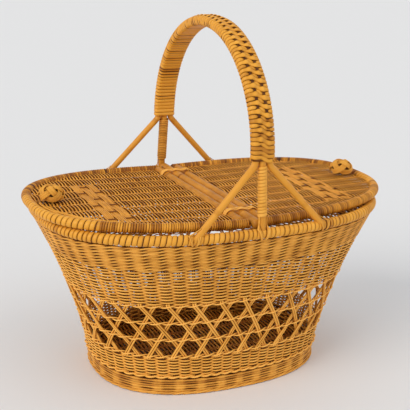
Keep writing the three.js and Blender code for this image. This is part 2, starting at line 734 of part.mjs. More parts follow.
// A lid on the +X side. The one on the other side is the same lid turned half round. It is drawn
// level, and the group it hangs in tilts it about its hinge until its hoop rests on the rim.
function addLid(basket, name, angle) {
  const side = new THREE.Group();
  side.rotation.z = angle;
  basket.add(side);
  const tilted = new THREE.Group();
  tilted.position.set(hingeX, 0, hingeHeight);
  tilted.rotation.y = -lidTilt;
  side.add(tilted);
  const lid = new THREE.Group();
  lid.position.set(-hingeX, 0, -hingeHeight);
  tilted.add(lid);

  const startX = hingeX - lidRodRadius;
  const startAngle = Math.acos((startX / lidHalfLength) ** (lidPower / 2));
  const angles = evenAngles(-startAngle, startAngle, hoopSteps, lidHalfLength, lidHalfWidth, lidPower);
  const points = [];
  const outwards = [];
  for (const place of angles) {
    const flat = ovalPoint(place, lidHalfLength, lidHalfWidth, lidPower);
    points.push(new THREE.Vector3(flat.x, flat.y, hingeHeight));
    outwards.push(ovalOutward(flat, lidHalfLength, lidHalfWidth, lidPower));
  }
  const hoop = sweep(roundShape(lidHoopRadius, tubeSides), points, outwards);
  addPiece(lid, `${name}_hoop`, hoop, rimFinish);

  const rodEnd = Math.min(points[0].y * -1, points[1].y * -1) - lidHoopRadius - joinGap;
  const rod = rodBetween(
    new THREE.Vector3(hingeX, -rodEnd, hingeHeight),
    new THREE.Vector3(hingeX, rodEnd, hingeHeight),
    lidRodRadius,
    bandSides,
  );
  addPiece(lid, `${name}_hinge_rod`, rod, rodFinish);

  const panelStart = hingeX + lidRodRadius + joinGap;
  const outline = points
    .map((point, i) => point.clone().addScaledVector(outwards[i], -lidHoopRadius - joinGap))
    .filter((point) => point.x > panelStart)
    .map((point) => new THREE.Vector2(point.x, point.y));
  outline.unshift(new THREE.Vector2(panelStart, -rodEnd));
  outline.push(new THREE.Vector2(panelStart, rodEnd));
  const woven = boardWithRibs(outline, panelBottom, lidPanelThickness, {
    diameter: ribDiameter,
    pitch: ribPitch,
    eachSide: ribsEachSide,
    depthShare: ribDepthShare,
  });
  const knobX = lidHalfLength + lidHoopRadius - knobInset;
  let panel = woven.board;
  for (const side of [-1, 1]) {
    const notch = new THREE.BoxGeometry(
      (lashingOuter + notchGap) * 2,
      lashingWidth + notchGap * 2,
      lidPanelThickness + overrun * 2,
    ).translate(hingeX, side * lashingPlace, hingeHeight);
    const tieHole = rodBetween(
      new THREE.Vector3(knobX, side * tieSpread / 2, panelBottom - overrun),
      new THREE.Vector3(knobX, side * tieSpread / 2, panelTop + overrun),
      (tieDiameter / 2 + joinGap) * facetGrowth,
      tubeSides,
    );
    panel = panel.subtract(toSolid(notch)).subtract(toSolid(tieHole));
  }
  addPiece(lid, `${name}_panel`, toGeometry(panel), lidFinish);
  woven.pieces.forEach((rib, i) => addPiece(lid, `${name}_rib_${i + 1}`, rib, rodFinish));
  addKnob(lid, name, knobX);
}

// The knot that serves as a knob: a squashed ball, tied down round the middle rib
function addKnob(lid, name, knobX) {
  const bottom = panelTop + joinGap;
  const radius = knobDiameter / 2;
  const profileShares = [[0, 0], [0.55, 0], [0.9, 0.2], [1, 0.48], [0.88, 0.78], [0.5, 0.97], [0, 1]];
  const profile = profileShares.map(([out, up]) => new THREE.Vector2(out * radius, up * knobHeight));
  const ball = new THREE.LatheGeometry(profile, knobSides).rotateX(Math.PI / 2);
  ball.translate(knobX, 0, bottom);
  let knob = toSolid(ball);
  const tieRadius = tieDiameter / 2;
  for (const side of [-1, 1]) {
    const socket = rodBetween(
      new THREE.Vector3(knobX, side * tieSpread / 2, bottom - overrun),
      new THREE.Vector3(knobX, side * tieSpread / 2, bottom + tieReach + joinGap),
      (tieRadius + joinGap) * facetGrowth,
      tubeSides,
    );
    knob = knob.subtract(toSolid(socket));
  }
  addPiece(lid, `${name}_knob`, toGeometry(knob), knotFinish);

  const ribBottom = panelBottom - ribDiameter * (1 - ribDepthShare);
  const low = ribBottom - joinGap - tieRadius;
  const points = [new THREE.Vector3(knobX, -tieSpread / 2, bottom + tieReach)];
  const outwards = [new THREE.Vector3(0, -1, 0)];
  for (let i = 0; i <= bendSteps; i += 1) {
    const angle = Math.PI + i / bendSteps * turn / 4;
    const outward = new THREE.Vector3(0, Math.cos(angle), Math.sin(angle));
    const middle = new THREE.Vector3(knobX, tieBend - tieSpread / 2, low + tieBend);
    points.push(middle.addScaledVector(outward, tieBend));
    outwards.push(outward);
  }
  const mirror = (vector) => new THREE.Vector3(vector.x, -vector.y, vector.z);
  const otherPoints = points.map(mirror).reverse();
  const otherOutwards = outwards.map((outward) => new THREE.Vector3(0, -outward.y, outward.z)).reverse();
  const tie = sweep(
    roundShape(tieRadius, tieSides),
    [...points, ...otherPoints],
    [...outwards, ...otherOutwards],
  );
  addPiece(lid, `${name}_knob_tie`, tie, caneFinish);
}

const basket = new THREE.Group();
addBody(basket);
addHandle(basket);
addHinge(basket);
addLid(basket, 'right_lid', 0);
addLid(basket, 'left_lid', Math.PI);

export default basket;
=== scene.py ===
from math import cos, pi, radians, sin, sqrt

import bpy
import numpy as np
from bpy.props import FloatProperty, FloatVectorProperty, IntProperty, PointerProperty
from mathutils import Matrix, Vector


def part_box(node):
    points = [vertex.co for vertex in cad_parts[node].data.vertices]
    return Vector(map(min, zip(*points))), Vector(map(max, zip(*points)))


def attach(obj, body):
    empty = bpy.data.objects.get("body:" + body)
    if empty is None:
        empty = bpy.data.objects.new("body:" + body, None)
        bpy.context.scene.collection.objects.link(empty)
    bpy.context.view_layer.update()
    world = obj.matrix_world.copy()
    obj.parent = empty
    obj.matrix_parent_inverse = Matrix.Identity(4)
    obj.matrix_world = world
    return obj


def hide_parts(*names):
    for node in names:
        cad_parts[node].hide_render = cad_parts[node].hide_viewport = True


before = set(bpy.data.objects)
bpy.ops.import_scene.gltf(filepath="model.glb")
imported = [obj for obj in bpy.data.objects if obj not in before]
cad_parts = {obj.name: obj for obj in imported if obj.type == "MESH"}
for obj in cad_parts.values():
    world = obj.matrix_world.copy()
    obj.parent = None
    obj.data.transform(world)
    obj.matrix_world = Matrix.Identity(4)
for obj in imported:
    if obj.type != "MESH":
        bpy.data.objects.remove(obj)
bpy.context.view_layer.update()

bl_info = {
    "name": "Oval picnic basket",
    "version": (1, 0, 0),
    "blender": (4, 5, 0),
    "location": "3D View > Sidebar > Basket",
    "description": "Weaves an oval rattan picnic basket round its packed frame",
    "category": "Object",
}

# Shapes are worked out in millimetres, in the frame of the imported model. Settings hold metres.
MM = 0.001
TURN = 2 * pi
CRUMB = 1e-12
UP = np.array([0.0, 0.0, 1.0])
OTHER_SIDE = np.array([-1.0, 1.0, 1.0])


def frame_box(node):
    """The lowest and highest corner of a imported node, in millimetres."""
    low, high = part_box(node)
    return np.array(low) / MM, np.array(high) / MM


def frame_heights(node):
    """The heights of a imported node's underside and top."""
    low, high = frame_box(node)
    return low[2], high[2]


RIM_LOW, RIM_HIGH = frame_box("rim_hoop")
RIM_RADIUS = (RIM_HIGH[2] - RIM_LOW[2]) / 2
RIM_HEIGHT = (RIM_HIGH[2] + RIM_LOW[2]) / 2
RIM_HALVES = (RIM_HIGH[0] - RIM_RADIUS, RIM_HIGH[1] - RIM_RADIUS)
WALL_TOP = frame_heights("upper_waling")[1]
WALL_PAST_RIM = 2
STAKE_INSET = 2.8
BAR_LOW, BAR_HIGH = frame_box("hinge_bar")
HINGE_HEIGHT = (BAR_LOW[2] + BAR_HIGH[2]) / 2
LID_ROD_LOW, LID_ROD_HIGH = frame_box("right_lid_hinge_rod")
HINGE_X = (LID_ROD_LOW[0] + LID_ROD_HIGH[0]) / 2
PANEL_START = frame_box("right_lid_panel")[0][0]
PANEL_RISE = 0.5
WRAP_LOW, WRAP_HIGH = frame_box("handle_wrap")
WRAP_DEPTH = 1.6
CENTRE_ROD_HIGH = frame_box("handle_centre_rod")[1]
LEG_RADIUS = CENTRE_ROD_HIGH[0]
ARCH_START = WRAP_LOW[2]
ARCH_HALF_WIDTH = WRAP_HIGH[1] - LEG_RADIUS - WRAP_DEPTH
ARCH_RISE = CENTRE_ROD_HIGH[2] - LEG_RADIUS - ARCH_START
LEG_FOOT = np.array([0, -RIM_HALVES[1], RIM_HEIGHT])
LEG_TOP = np.array([0, -ARCH_HALF_WIDTH, ARCH_START])


# Settings

def colour_setting(name, default, description):
    """A setting that holds a colour."""
    return FloatVectorProperty(name=name, description=description, default=default,
                               subtype="COLOR", size=3, min=0, max=1)


def length_setting(name, default, description, least=0.0005):
    """A setting that holds a length."""
    return FloatProperty(name=name, description=description, default=default, min=least,
                         unit="LENGTH")


def angle_setting(name, degrees, description):
    """A setting that holds an angle."""
    return FloatProperty(name=name, description=description, default=radians(degrees),
                         subtype="ANGLE", unit="ROTATION")


class BasketColours(bpy.types.PropertyGroup):
    """Colours of the canes."""

    body: colour_setting("Body cane", (0.83, 0.385, 0.056), "Cane of the woven walls")
    rim: colour_setting(
        "Rim cane", (0.76, 0.33, 0.03), "Flat cane wound round the rims and the handle")
    lid: colour_setting("Lid cane", (0.77, 0.325, 0.036), "Cane of the two lids")
    knot: colour_setting("Knob cane", (0.78, 0.365, 0.046), "Cane of the knotted knobs")
    tie: colour_setting("Tie cane", (0.80, 0.37, 0.05), "Pale cane of the lashings")
    rod: colour_setting("Bare rod", (0.72, 0.305, 0.03), "Bare rods of the handle and the hinge")


class BasketWall(bpy.types.PropertyGroup):
    """Sizes of the woven walls."""

    foot_half_length: length_setting(
        "Foot half length", 0.14235, "Half of the outer length at the ground", 0.05)
    foot_half_width: length_setting(
        "Foot half width", 0.1065, "Half of the outer width at the ground", 0.05)
    foot_power: FloatProperty(
        name="Foot squareness", description="Power of the oval at the ground, 2 is an ellipse",
        default=2.4, min=2)
    rim_power: FloatProperty(
        name="Rim squareness", description="Power of the oval at the rim", default=2.5, min=2)
    flare: FloatProperty(
        name="Flare", description="How late the wall flares out as it rises",
        default=1.5, min=0.5)
    stakes: IntProperty(
        name="Stakes", description="Pairs of upright canes round the wall", default=64, min=8)
    row_pitch: length_setting("Row pitch", 0.00194, "Height of one woven row")
    waling_pitch: length_setting(
        "Waling pitch", 0.0037, "Height of one round of the waling's three canes", 0.001)
    foot_row_pitch: length_setting(
        "Foot row pitch", 0.0033, "Height of one row of the foot border")
    reed: length_setting("Reed", 0.0019, "Thickness of one cane of a pair")
    openwork_rows: IntProperty(
        name="Openwork rows", description="Rows of crossings in the openwork",
        default=3, min=1)
    rim_pitch: length_setting("Rim pitch", 0.0056, "Width of one turn of the rim's cane", 0.001)


class BasketLid(bpy.types.PropertyGroup):
    """Sizes of the two lids."""

    half_length: length_setting(
        "Half length", 0.2145, "From the basket's middle to the hoop's middle line", 0.05)
    half_width: length_setting(
        "Half width", 0.1243, "Half of the width between the hoop's middle lines", 0.05)
    power: FloatProperty(
        name="Squareness", description="Power of the lids' oval", default=2.6, min=2)
    hoop: length_setting("Hoop", 0.011, "Thickness of the hoop with its cane", 0.002)
    tilt: angle_setting("Tilt", 1.746, "Rise of a closed lid from its hinge to its far end")
    weaver_pitch: length_setting("Weaver pitch", 0.0020, "Distance between neighbouring weavers")
    rib_pitch: length_setting("Rib pitch", 0.026, "Distance between neighbouring ribs", 0.005)
    hoop_pitch: length_setting(
        "Hoop pitch", 0.0026, "Width of one turn of the hoop's fine cane", 0.001)
    hoop_end_pitch: length_setting(
        "Hoop end pitch", 0.0062, "Width of one turn at the far end of a lid", 0.001)
    knob: length_setting("Knob", 0.031, "Width of a knob", 0.01)
    knob_height: length_setting("Knob height", 0.022, "Height of a knob", 0.01)
    knob_inset: length_setting("Knob inset", 0.028, "From a lid's end to its knob's middle", 0.01)
    crown: length_setting("Crown", 0.0016, "How far a lid rises towards its hinge", 0)


class BasketHandle(bpy.types.PropertyGroup):
    """Sizes of the handle."""

    wrap_pitch: length_setting("Wrap pitch", 0.0046, "Width of one turn round the handle", 0.001)
    leader_spacing: length_setting(
        "Leader spacing", 0.0098, "Distance between the two leader canes", 0.002)
    front_leg_pitch: length_setting(
        "Front leg pitch", 0.0037, "Width of one turn round the front leg", 0.001)
    back_leg_pitch: length_setting(
        "Back leg pitch", 0.0024, "Width of one turn round the back leg", 0.001)
    leg_spread: length_setting(
        "Leg spread", 0.078, "From the centre leg to a slanting leg's foot", 0.02)
    leg_bend: length_setting("Leg bend", 0.005, "Length of each half of a side rod's bend", 0.001)


class BasketStage(bpy.types.PropertyGroup):
    """The floor, the light and the camera."""

    floor_colour: colour_setting("Floor", (0.81, 0.80, 0.79), "Colour of the floor")
    azimuth: angle_setting("Azimuth", -25.750, "Turn of the camera round the basket")
    elevation: angle_setting("Elevation", 16.238, "Height of the camera above the level")
    distance: length_setting("Distance", 1.115294, "Camera to the middle of the basket", 0.1)
    target_height: length_setting("Target height", 0.2, "Height that the camera turns about", 0)
    lens: FloatProperty(
        name="Lens", description="Focal length of the camera in millimetres",
        default=81.007, min=10)
    yaw: angle_setting("Yaw", -0.044, "Small turn of the camera about its own upright")
    pitch: angle_setting("Pitch", 0.335, "Small nod of the camera")
    roll: angle_setting("Roll", -1.901, "Small roll of the camera")


# Arrays of points

def unit(vectors):
    """Each vector divided by its own length."""
    return vectors / np.maximum(np.linalg.norm(vectors, axis=-1, keepdims=True), CRUMB)


def stack(x, y, z):
    """Three arrays of any matching shapes as one array of points."""
    return np.stack(np.broadcast_arrays(x, y, z), axis=-1).astype(float)


def smooth(share):
    """A step from 0 to 1 that starts and ends level: three shares squared less two cubed."""
    share = np.clip(share, 0, 1)
    return share * share * (3 - 2 * share)


def shares_round(count):
    """Equal shares of the way round, from 0."""
    return np.arange(count) / count


def column(count):
    """Whole numbers from 0, as one column."""
    return np.arange(count)[:, None]


def alternate(number):
    """1 for even numbers and -1 for odd ones."""
    return np.where(number % 2 == 0, 1.0, -1.0)


def drift(random, rows, columns, waves, closed=True):
    """Slow change along each row, from -1 to 1: a sum of sines with random phases, where wave
    number w weighs 1 / sqrt(w)."""
    place = np.linspace(0, TURN, columns, endpoint=not closed)
    total = np.zeros((rows, columns))
    for wave in waves:
        phase = random.uniform(0, TURN, (rows, 1))
        total += np.sin(wave * place + phase) / sqrt(wave)
    return total / sum(1 / sqrt(wave) for wave in waves)


def oval(angle, half_length, half_width, power):
    """A point of a squared oval: half a length times the cosine and half a width times the sine,
    each raised to 2 / power with its sign kept."""
    c = np.cos(angle)
    s = np.sin(angle)
    return (half_length * np.sign(c) * np.abs(c) ** (2 / power),
            half_width * np.sign(s) * np.abs(s) ** (2 / power))


def oval_reach(x, half_length, half_width, power):
    """How far a squared oval reaches along Y at a place along X."""
    inner = np.clip(1 - np.abs(x / half_length) ** power, 0, 1)
    return half_width * inner ** (1 / power)


def oval_outward(x, y, half_length, half_width, power):
    """The outward direction of a squared oval: the slope of its power sum."""
    out_x = np.sign(x) * np.abs(x / half_length) ** (power - 1) / half_length
    out_y = np.sign(y) * np.abs(y / half_width) ** (power - 1) / half_width
    return unit(stack(out_x, out_y, 0 * out_x))


def angle_table(first, last, half_length, half_width, power):
    """Shares of the length of an oval's arc, the angles that stand there, and the length."""
    angles = np.linspace(first, last, 14401)
    x, y = oval(angles, half_length, half_width, power)
    lengths = np.concatenate([[0], np.cumsum(np.hypot(np.diff(x), np.diff(y)))])
    return lengths / lengths[-1], angles, lengths[-1]


# Strands: a section carried along rows of points

def tangents(points, closed):
    """The way each row of points runs."""
    if closed:
        return np.roll(points, -1, axis=1) - np.roll(points, 1, axis=1)
    return np.gradient(points, axis=1)


def strands(points, outward, half_wide, half_thick, tone=0.5, sides=6, closed=False, power=2.0,
            edge=0.0, inner=None):
    """A bundle of canes, one for each row of points. At each point the section is a squared oval
    laid out by the tangent and the outward direction: point + wide * half_wide * cos(a) + out *
    half_thick * sin(a), with the cosine and the sine raised to 2 / power. Wide is the tangent
    crossed with outward. Tone is a shade from 0, dark, to 1, light; besides each cane's own shade
    it carries painted shade and painted light. It falls towards both sides of a cane by the given
    painted side shade times the cube of the cosine, as painted shade where neighbouring canes
    meet. Inner, where it is given, is the tone of the half that faces inwards, so that the
    painted shade of the two halves can differ. The points may be one cane's alone."""
    points = points.reshape(-1, *points.shape[-2:])
    grid = points.shape[:2]
    along = unit(tangents(points, closed))
    outward = np.broadcast_to(outward, points.shape)
    out = unit(outward - (outward * along).sum(-1, keepdims=True) * along)
    wide = np.cross(along, out)
    ring_wide, ring_out = oval((np.arange(sides) + 0.5) / sides * TURN, 1, 1, power)

    def spread(value):
        return np.broadcast_to(value, grid)[..., None]

    verts = (points[:, :, None]
             + wide[:, :, None] * (ring_wide * spread(half_wide))[..., None]
             + out[:, :, None] * (ring_out * spread(half_thick))[..., None])
    ahead = np.roll(points, -1, axis=1) - points
    steps = np.linalg.norm(ahead if closed else ahead[:, :-1], axis=-1)
    tones = np.where(ring_out > 0, spread(tone), spread(tone if inner is None else inner))
    return {
        "verts": verts,
        # Painted shade: the tone falls towards both sides of each cane
        "tone": tones - spread(edge) * np.abs(ring_wide) ** 3,
        "length": np.concatenate([np.zeros((grid[0], 1)), np.cumsum(steps, axis=1)], axis=1),
        "closed": closed,
    }


def rings(verts, length, tone):
    """One open strand whose rings of vertices are worked out already."""
    return {"verts": verts[None], "tone": tone, "length": length[None], "closed": False}


def side_by_side(points, outward, offsets, closed=False):
    """Rows of points repeated beside themselves, moved along the tangent crossed with outward."""
    outward = np.broadcast_to(outward, points.shape)
    wide = unit(np.cross(tangents(points, closed), outward))
    moved = [points + wide * offset for offset in offsets]
    return np.concatenate(moved), np.concatenate([outward] * len(offsets))


def half_round(bundles, sign):
    """The bundles as they are, or turned half round the upright axis if the sign is -1."""
    return [{**bundle, "verts": bundle["verts"] * np.array([sign, sign, 1])}
            for bundle in bundles]


def bundle_faces(bundle, first):
    """Faces, places along the grain and tones of one bundle, whose vertices start at first."""
    rows, columns, sides = bundle["verts"].shape[:3]
    closed = bundle["closed"]
    strand_shift = 0.37
    row, span, side = np.meshgrid(np.arange(rows), np.arange(columns if closed else columns - 1),
                                  np.arange(sides), indexing="ij")
    index = first + np.arange(rows * columns * sides).reshape(rows, columns, sides)
    corners = ((0, 0), (1, 0), (1, 1), (0, 1))
    quads = np.stack([index[row, (span + ahead) % columns, (side + beside) % sides]
                      for ahead, beside in corners], axis=-1).reshape(-1, 4)
    grain = np.stack([np.stack([bundle["length"][row, span + ahead] * MM,
                                (side + beside) / sides + row * strand_shift], axis=-1)
                      for ahead, beside in corners], axis=-2).reshape(-1, 2)
    loops = [quads.ravel()]
    sizes = [np.full(len(quads), 4)]
    grains = [grain]
    if not closed:
        caps = np.concatenate([index[:, 0], index[:, -1, ::-1]])
        loops.append(caps.ravel())
        sizes.append(np.full(len(caps), sides))
        grains.append(np.zeros((caps.size, 2)))
    tone = np.broadcast_to(bundle["tone"], (rows, columns, sides)).ravel()
    return np.concatenate(loops), np.concatenate(sizes), np.concatenate(grains), tone


def make_piece(name, bundles, slot, *nodes, body="basket", look=None):
    """One smooth mesh from bundles of canes, with its grain as a UV map and its tone as an
    attribute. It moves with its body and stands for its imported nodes. Its finish is that of its
    slot, or of another slot named as its look."""
    parts = []
    first = 0
    for bundle in bundles:
        place = bundle["verts"].reshape(-1, 3)
        parts.append((place, *bundle_faces(bundle, first)))
        first += len(place)
    places, loops, sizes, grains, tones = (np.concatenate(part) for part in zip(*parts))
    mesh = bpy.data.meshes.new(name)
    mesh.vertices.add(len(places))
    mesh.vertices.foreach_set("co", (places * MM).astype(np.float32).ravel())
    mesh.loops.add(len(loops))
    mesh.loops.foreach_set("vertex_index", loops.astype(np.int32))
    mesh.polygons.add(len(sizes))
    starts = np.concatenate([[0], np.cumsum(sizes)[:-1]])
    mesh.polygons.foreach_set("loop_start", starts.astype(np.int32))
    mesh.polygons.foreach_set("use_smooth", np.ones(len(sizes), bool))
    mesh.update(calc_edges=True)
    uv = mesh.uv_layers.new(name="grain")
    uv.data.foreach_set("uv", grains.astype(np.float32).ravel())
    tone = mesh.attributes.new("tone", "FLOAT", "POINT")
    tone.data.foreach_set("value", tones.astype(np.float32))
    mesh.validate()
    mesh.materials.append(finish_of(look or slot))
    piece = bpy.data.objects.new(name, mesh)
    bpy.context.scene.collection.objects.link(piece)
    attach(piece, body)
    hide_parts(*nodes)


# Finishes

# For each slot: the colour setting, the roughness, how much the streaks and the blotches change
# the shade, the coat, and how dark the rings of a bare rod are
FINISHES = {
    "body_weave": ("body", 0.50, 0.34, 0.30, 0.0, 0.0),
    "rim_cane": ("rim", 0.40, 0.26, 0.26, 0.08, 0.0),
    "lid_weave": ("lid", 0.56, 0.34, 0.34, 0.0, 0.0),
    "knot_cane": ("knot", 0.48, 0.34, 0.22, 0.0, 0.0),
    "tie_cane": ("tie", 0.50, 0.34, 0.30, 0.0, 0.0),
    "bare_rod": ("rod", 0.42, 0.26, 0.34, 0.08, 0.3),
}


def finish_of(slot):
    """A slot's finish, made on first use."""
    name = "woven " + slot
    if name not in bpy.data.materials:
        colour, *amounts = FINISHES[slot]
        cane_finish(name, getattr(bpy.context.scene.basket_colours, colour), *amounts)
    return bpy.data.materials[name]


def add_node(tree, kind, *values, **named):
    """The shader node's first inputs take the values in order, and others take theirs by name.
    Another node's output is linked, and anything else is set."""
    node = tree.nodes.new("ShaderNode" + kind)
    inputs = [*enumerate(values), *((key.replace("_", " "), named[key]) for key in named)]
    for key, value in inputs:
        if isinstance(value, bpy.types.NodeSocket):
            tree.links.new(value, node.inputs[key])
        else:
            node.inputs[key].default_value = value
    return node


def cane_finish(name, colour, roughness, streaks, blotches, coat, rod_rings):
    """A procedural cane. Streaks follow the grain map along each strand, blotches follow the
    object's coordinates, and the tone attribute holds each cane's own shade together with painted
    shade where a cane lies deep and painted light where it is proud. The sum picks the colour
    from a ramp. Streaks also set the roughness and the bump."""
    material = bpy.data.materials.new(name)
    material.use_nodes = True
    tree = material.node_tree
    tree.nodes.clear()
    grain = add_node(tree, "UVMap")
    grain.uv_map = "grain"
    place = add_node(tree, "TexCoord").outputs["Object"]
    tone = add_node(tree, "Attribute")
    tone.attribute_name = "tone"

    def noise(vector, scale, detail, rough):
        return add_node(tree, "TexNoise", Vector=vector, Scale=scale, Detail=detail,
                        Roughness=rough).outputs[0]

    def stretched(scale):
        return add_node(tree, "Mapping", grain.outputs[0], Scale=scale).outputs[0]

    def total(first, second):
        return add_node(tree, "Math", first, second).outputs[0]

    def about_middle(value, amount):
        node = add_node(tree, "Math", value, amount, -amount / 2)
        node.operation = "MULTIPLY_ADD"
        return node.outputs[0]

    streak = noise(stretched((70, 5, 1)), 1.0, 3.0, 0.6)
    blotch = noise(place, 38.0, 3.0, 0.55)
    shade = total(total(about_middle(streak, streaks), about_middle(blotch, blotches)),
                  tone.outputs["Fac"])
    if rod_rings:
        # Nodes of the rod: narrow dark rings where a stretched noise along the grain peaks
        peaks = noise(stretched((42, 0.02, 1)), 1.0, 1.0, 0.5)
        dark = add_node(tree, "MapRange", peaks, From_Min=0.64, From_Max=0.70, To_Min=0,
                        To_Max=-rod_rings)
        shade = total(shade, dark.outputs[0])
    ramp = add_node(tree, "ValToRGB", shade)
    # The ramp's dark end is a deep brown for painted shade and its pale end a light tint for
    # painted light; between them lie the canes' own shades
    deep, brown, pale = (
        tuple(min(1, c * s) for c, s in zip(colour, share)) + (1.0,)
        for share in ((0.10, 0.055, 0.03), (0.50, 0.38, 0.26), (1.15, 1.26, 1.75)))
    stops = ramp.color_ramp.elements
    stops[0].color = deep
    stops[1].color = pale
    for position, stop_colour in ((0.3, brown), (0.52, tuple(colour) + (1.0,)), (0.8, pale)):
        stops.new(position).color = stop_colour
    rough = add_node(tree, "MapRange", streak, To_Min=roughness - 0.08, To_Max=roughness + 0.12)
    bump = add_node(tree, "Bump", Strength=0.35, Distance=0.00025, Height=streak)
    shader = add_node(tree, "BsdfPrincipled", ramp.outputs[0], Roughness=rough.outputs[0],
                      Normal=bump.outputs[0], Coat_Weight=coat, Coat_Roughness=0.35,
                      Specular_IOR_Level=0.2)
    add_node(tree, "OutputMaterial", shader.outputs[0])


# Wall

RIM_SHARES, RIM_ANGLES, _ = angle_table(0, TURN, *RIM_HALVES, 2.5)


def wall_point(share, height, inset):
    """A point of the wall. Share runs round the rim by length, anticlockwise from +X. The half
    length, the half width and the power of the oval go from the foot's to the rim's with the
    height's share of the wall raised to the flare, and the inset is taken off both halves."""
    wall = bpy.context.scene.basket_wall
    share, height, inset = np.broadcast_arrays(share, height, inset)
    rise = np.clip(height / WALL_TOP, 0, None) ** wall.flare
    halves = [foot / MM + (top + WALL_PAST_RIM - foot / MM) * rise - inset for foot, top in
              zip((wall.foot_half_length, wall.foot_half_width), RIM_HALVES)]
    power = wall.foot_power + (wall.rim_power - wall.foot_power) * rise
    angle = np.interp(np.mod(share, 1), RIM_SHARES, RIM_ANGLES)
    return stack(*oval(angle, *halves, power), height)


def wall_outward(share, height):
    """The wall's outward direction: its slope round the wall crossed with its slope up it."""
    aside = 2e-4
    higher = 0.5
    share, height = np.broadcast_arrays(share, height)
    around = wall_point(share + aside, height, 0) - wall_point(share - aside, height, 0)
    upward = wall_point(share, height + higher, 0) - wall_point(share, height - higher, 0)
    return unit(np.cross(around, upward))


def wall_canes(share, height, inset, half_wide, half_thick, tone, **more):
    """Closed canes round the wall, each with its height and its depth below the outside."""
    return strands(wall_point(share, height, inset), wall_outward(share, height), half_wide,
                   half_thick, tone, closed=True, **more)


def stake_pairs(low, high, tone=0.05, inset=STAKE_INSET):
    """Upright pairs of canes, one pair for each stake, at shares half a stake past whole ones.
    Their outer halves are painted dark, as shade where they show in the slits of the weave, and
    their inner halves are mid tone.
    """
    wall = bpy.context.scene.basket_wall
    shares = (column(wall.stakes) + 0.5) / wall.stakes
    heights = np.linspace(low, high, 6)
    half = wall.reed / MM / 2
    aside = 1.1 * half
    points, outward = side_by_side(
        wall_point(shares, heights, inset), wall_outward(shares, heights), (-aside, aside))
    return strands(points, outward, half, half, tone, inner=0.5)


def woven_rows(low, high, seed):
    """Plain weave in closed rows. The inset swings with the cosine of half a turn for each stake,
    and each row is half a turn ahead of the one below. Height, swing and tone drift a little. The
    tone carries painted shade where a row lies deep behind a stake and a little painted light
    where it is proud, and each cane's sides get painted shade."""
    wall = bpy.context.scene.basket_wall
    random = np.random.default_rng(seed)
    rows = round((high - low) / (wall.row_pitch / MM))
    pitch = (high - low) / rows
    columns = wall.stakes * 6
    row = column(rows)
    share = shares_round(columns)
    wave = np.cos(pi * (wall.stakes * share - 0.5 + row))
    swing = 1.7 + 0.25 * drift(random, rows, columns, (5, 9, 21, 33))
    height = low + (row + 0.5) * pitch + 0.16 * drift(random, rows, columns, (3, 7, 17, 29))
    shade = (0.61 + random.normal(0, 0.05, (rows, 1))
             + 0.10 * drift(random, rows, columns, (2, 5, 11, 23)))
    # Painted light on each face where it stands proud, and painted shade where it lies deep
    # behind a stake
    outer, inner = (shade + 0.08 * proud - 0.42 * smooth(-1.3 * proud)
                    for proud in (wave, -wave))
    overlap = 1.14
    return wall_canes(share, height, STAKE_INSET - swing * wave, pitch / 2 * overlap,
                      half_thick=0.95, tone=outer, edge=0.2, inner=inner)


def waled_rows(low, high, seed):
    """Waling in rounds of three canes. Each cane comes out from behind a stake at the foot of its
    round, climbs to the round's top while it passes two stakes, and goes behind the third. The
    next cane follows one stake later, and all climb fastest at the stakes. The inset, the width
    and the tone step over with the distance from the middle of the hidden stretch, in shares of
    three stakes: the hidden stretch is painted dark as shade behind the stake, and its sides get
    more painted shade where it narrows."""
    wall = bpy.context.scene.basket_wall
    random = np.random.default_rng(seed)
    strokes = wall.stakes // 3 * 3
    rounds = max(1, round((high - low) / (wall.waling_pitch / MM)))
    pitch = (high - low) / rounds
    rows = 3 * rounds
    columns = strokes * 8
    share = shares_round(columns)
    row = column(rows)
    part = np.mod(strokes * share - row % 3, 3) / 3
    hidden_middle = 5 / 6
    away = np.abs(np.mod(part - hidden_middle + 0.5, 1) - 0.5)
    lane = np.where(part < 2 / 3, 1.5 * part - 0.5 + 0.06 * np.sin(3 * TURN * part),
                    2.5 - 3 * part)
    height = (low + (row // 3 + 0.5 + lane) * pitch
              + 0.15 * drift(random, rows, columns, (3, 7, 17, 29)))
    hidden = 1 - smooth((away - 0.08) / 0.12)
    thin = 1 - smooth((away - 0.20) / 0.13)
    # Painted shade on the outward face of the hidden stretch
    tone = (0.55 - 0.42 * (1 - smooth((away - 0.15) / 0.12))
            + random.normal(0, 0.04, (rows, 1))
            + 0.10 * drift(random, rows, columns, (5, 11, 23, 40)))
    return wall_canes(share, height, 0.95 + 3.3 * hidden, pitch / 4 * (1.16 - 0.66 * thin),
                      half_thick=0.95, tone=tone, edge=0.14 + 0.3 * thin,
                      inner=tone + 0.3 * hidden)


def lining_rows(heights, inset, half_wide, seed):
    """Rows that close the wall behind the waling or the foot border. Their outward face is
    painted nearly black, as shade behind the gaps of the wall. From inside they are a plain
    weave: the inset swings with the cosine of half a turn for each stake, half a turn further on
    in each next row, and the tone falls with painted shade where a row lies back."""
    wall = bpy.context.scene.basket_wall
    random = np.random.default_rng(seed)
    rows = len(heights)
    columns = wall.stakes * 4
    share = shares_round(columns)
    height = heights[:, None] + 0.15 * drift(random, rows, columns, (3, 7, 17))
    wave = np.cos(pi * (wall.stakes * share - 0.5 + column(rows)))
    inner = (0.52 + random.normal(0, 0.04, (rows, 1)) - 0.40 * smooth(-1.3 * wave)
             + 0.1 * drift(random, rows, columns, (2, 5, 11, 23)))
    return wall_canes(share, height, inset + 0.5 * wave, half_wide, half_thick=0.8, tone=0.05,
                      edge=0.3, inner=inner)


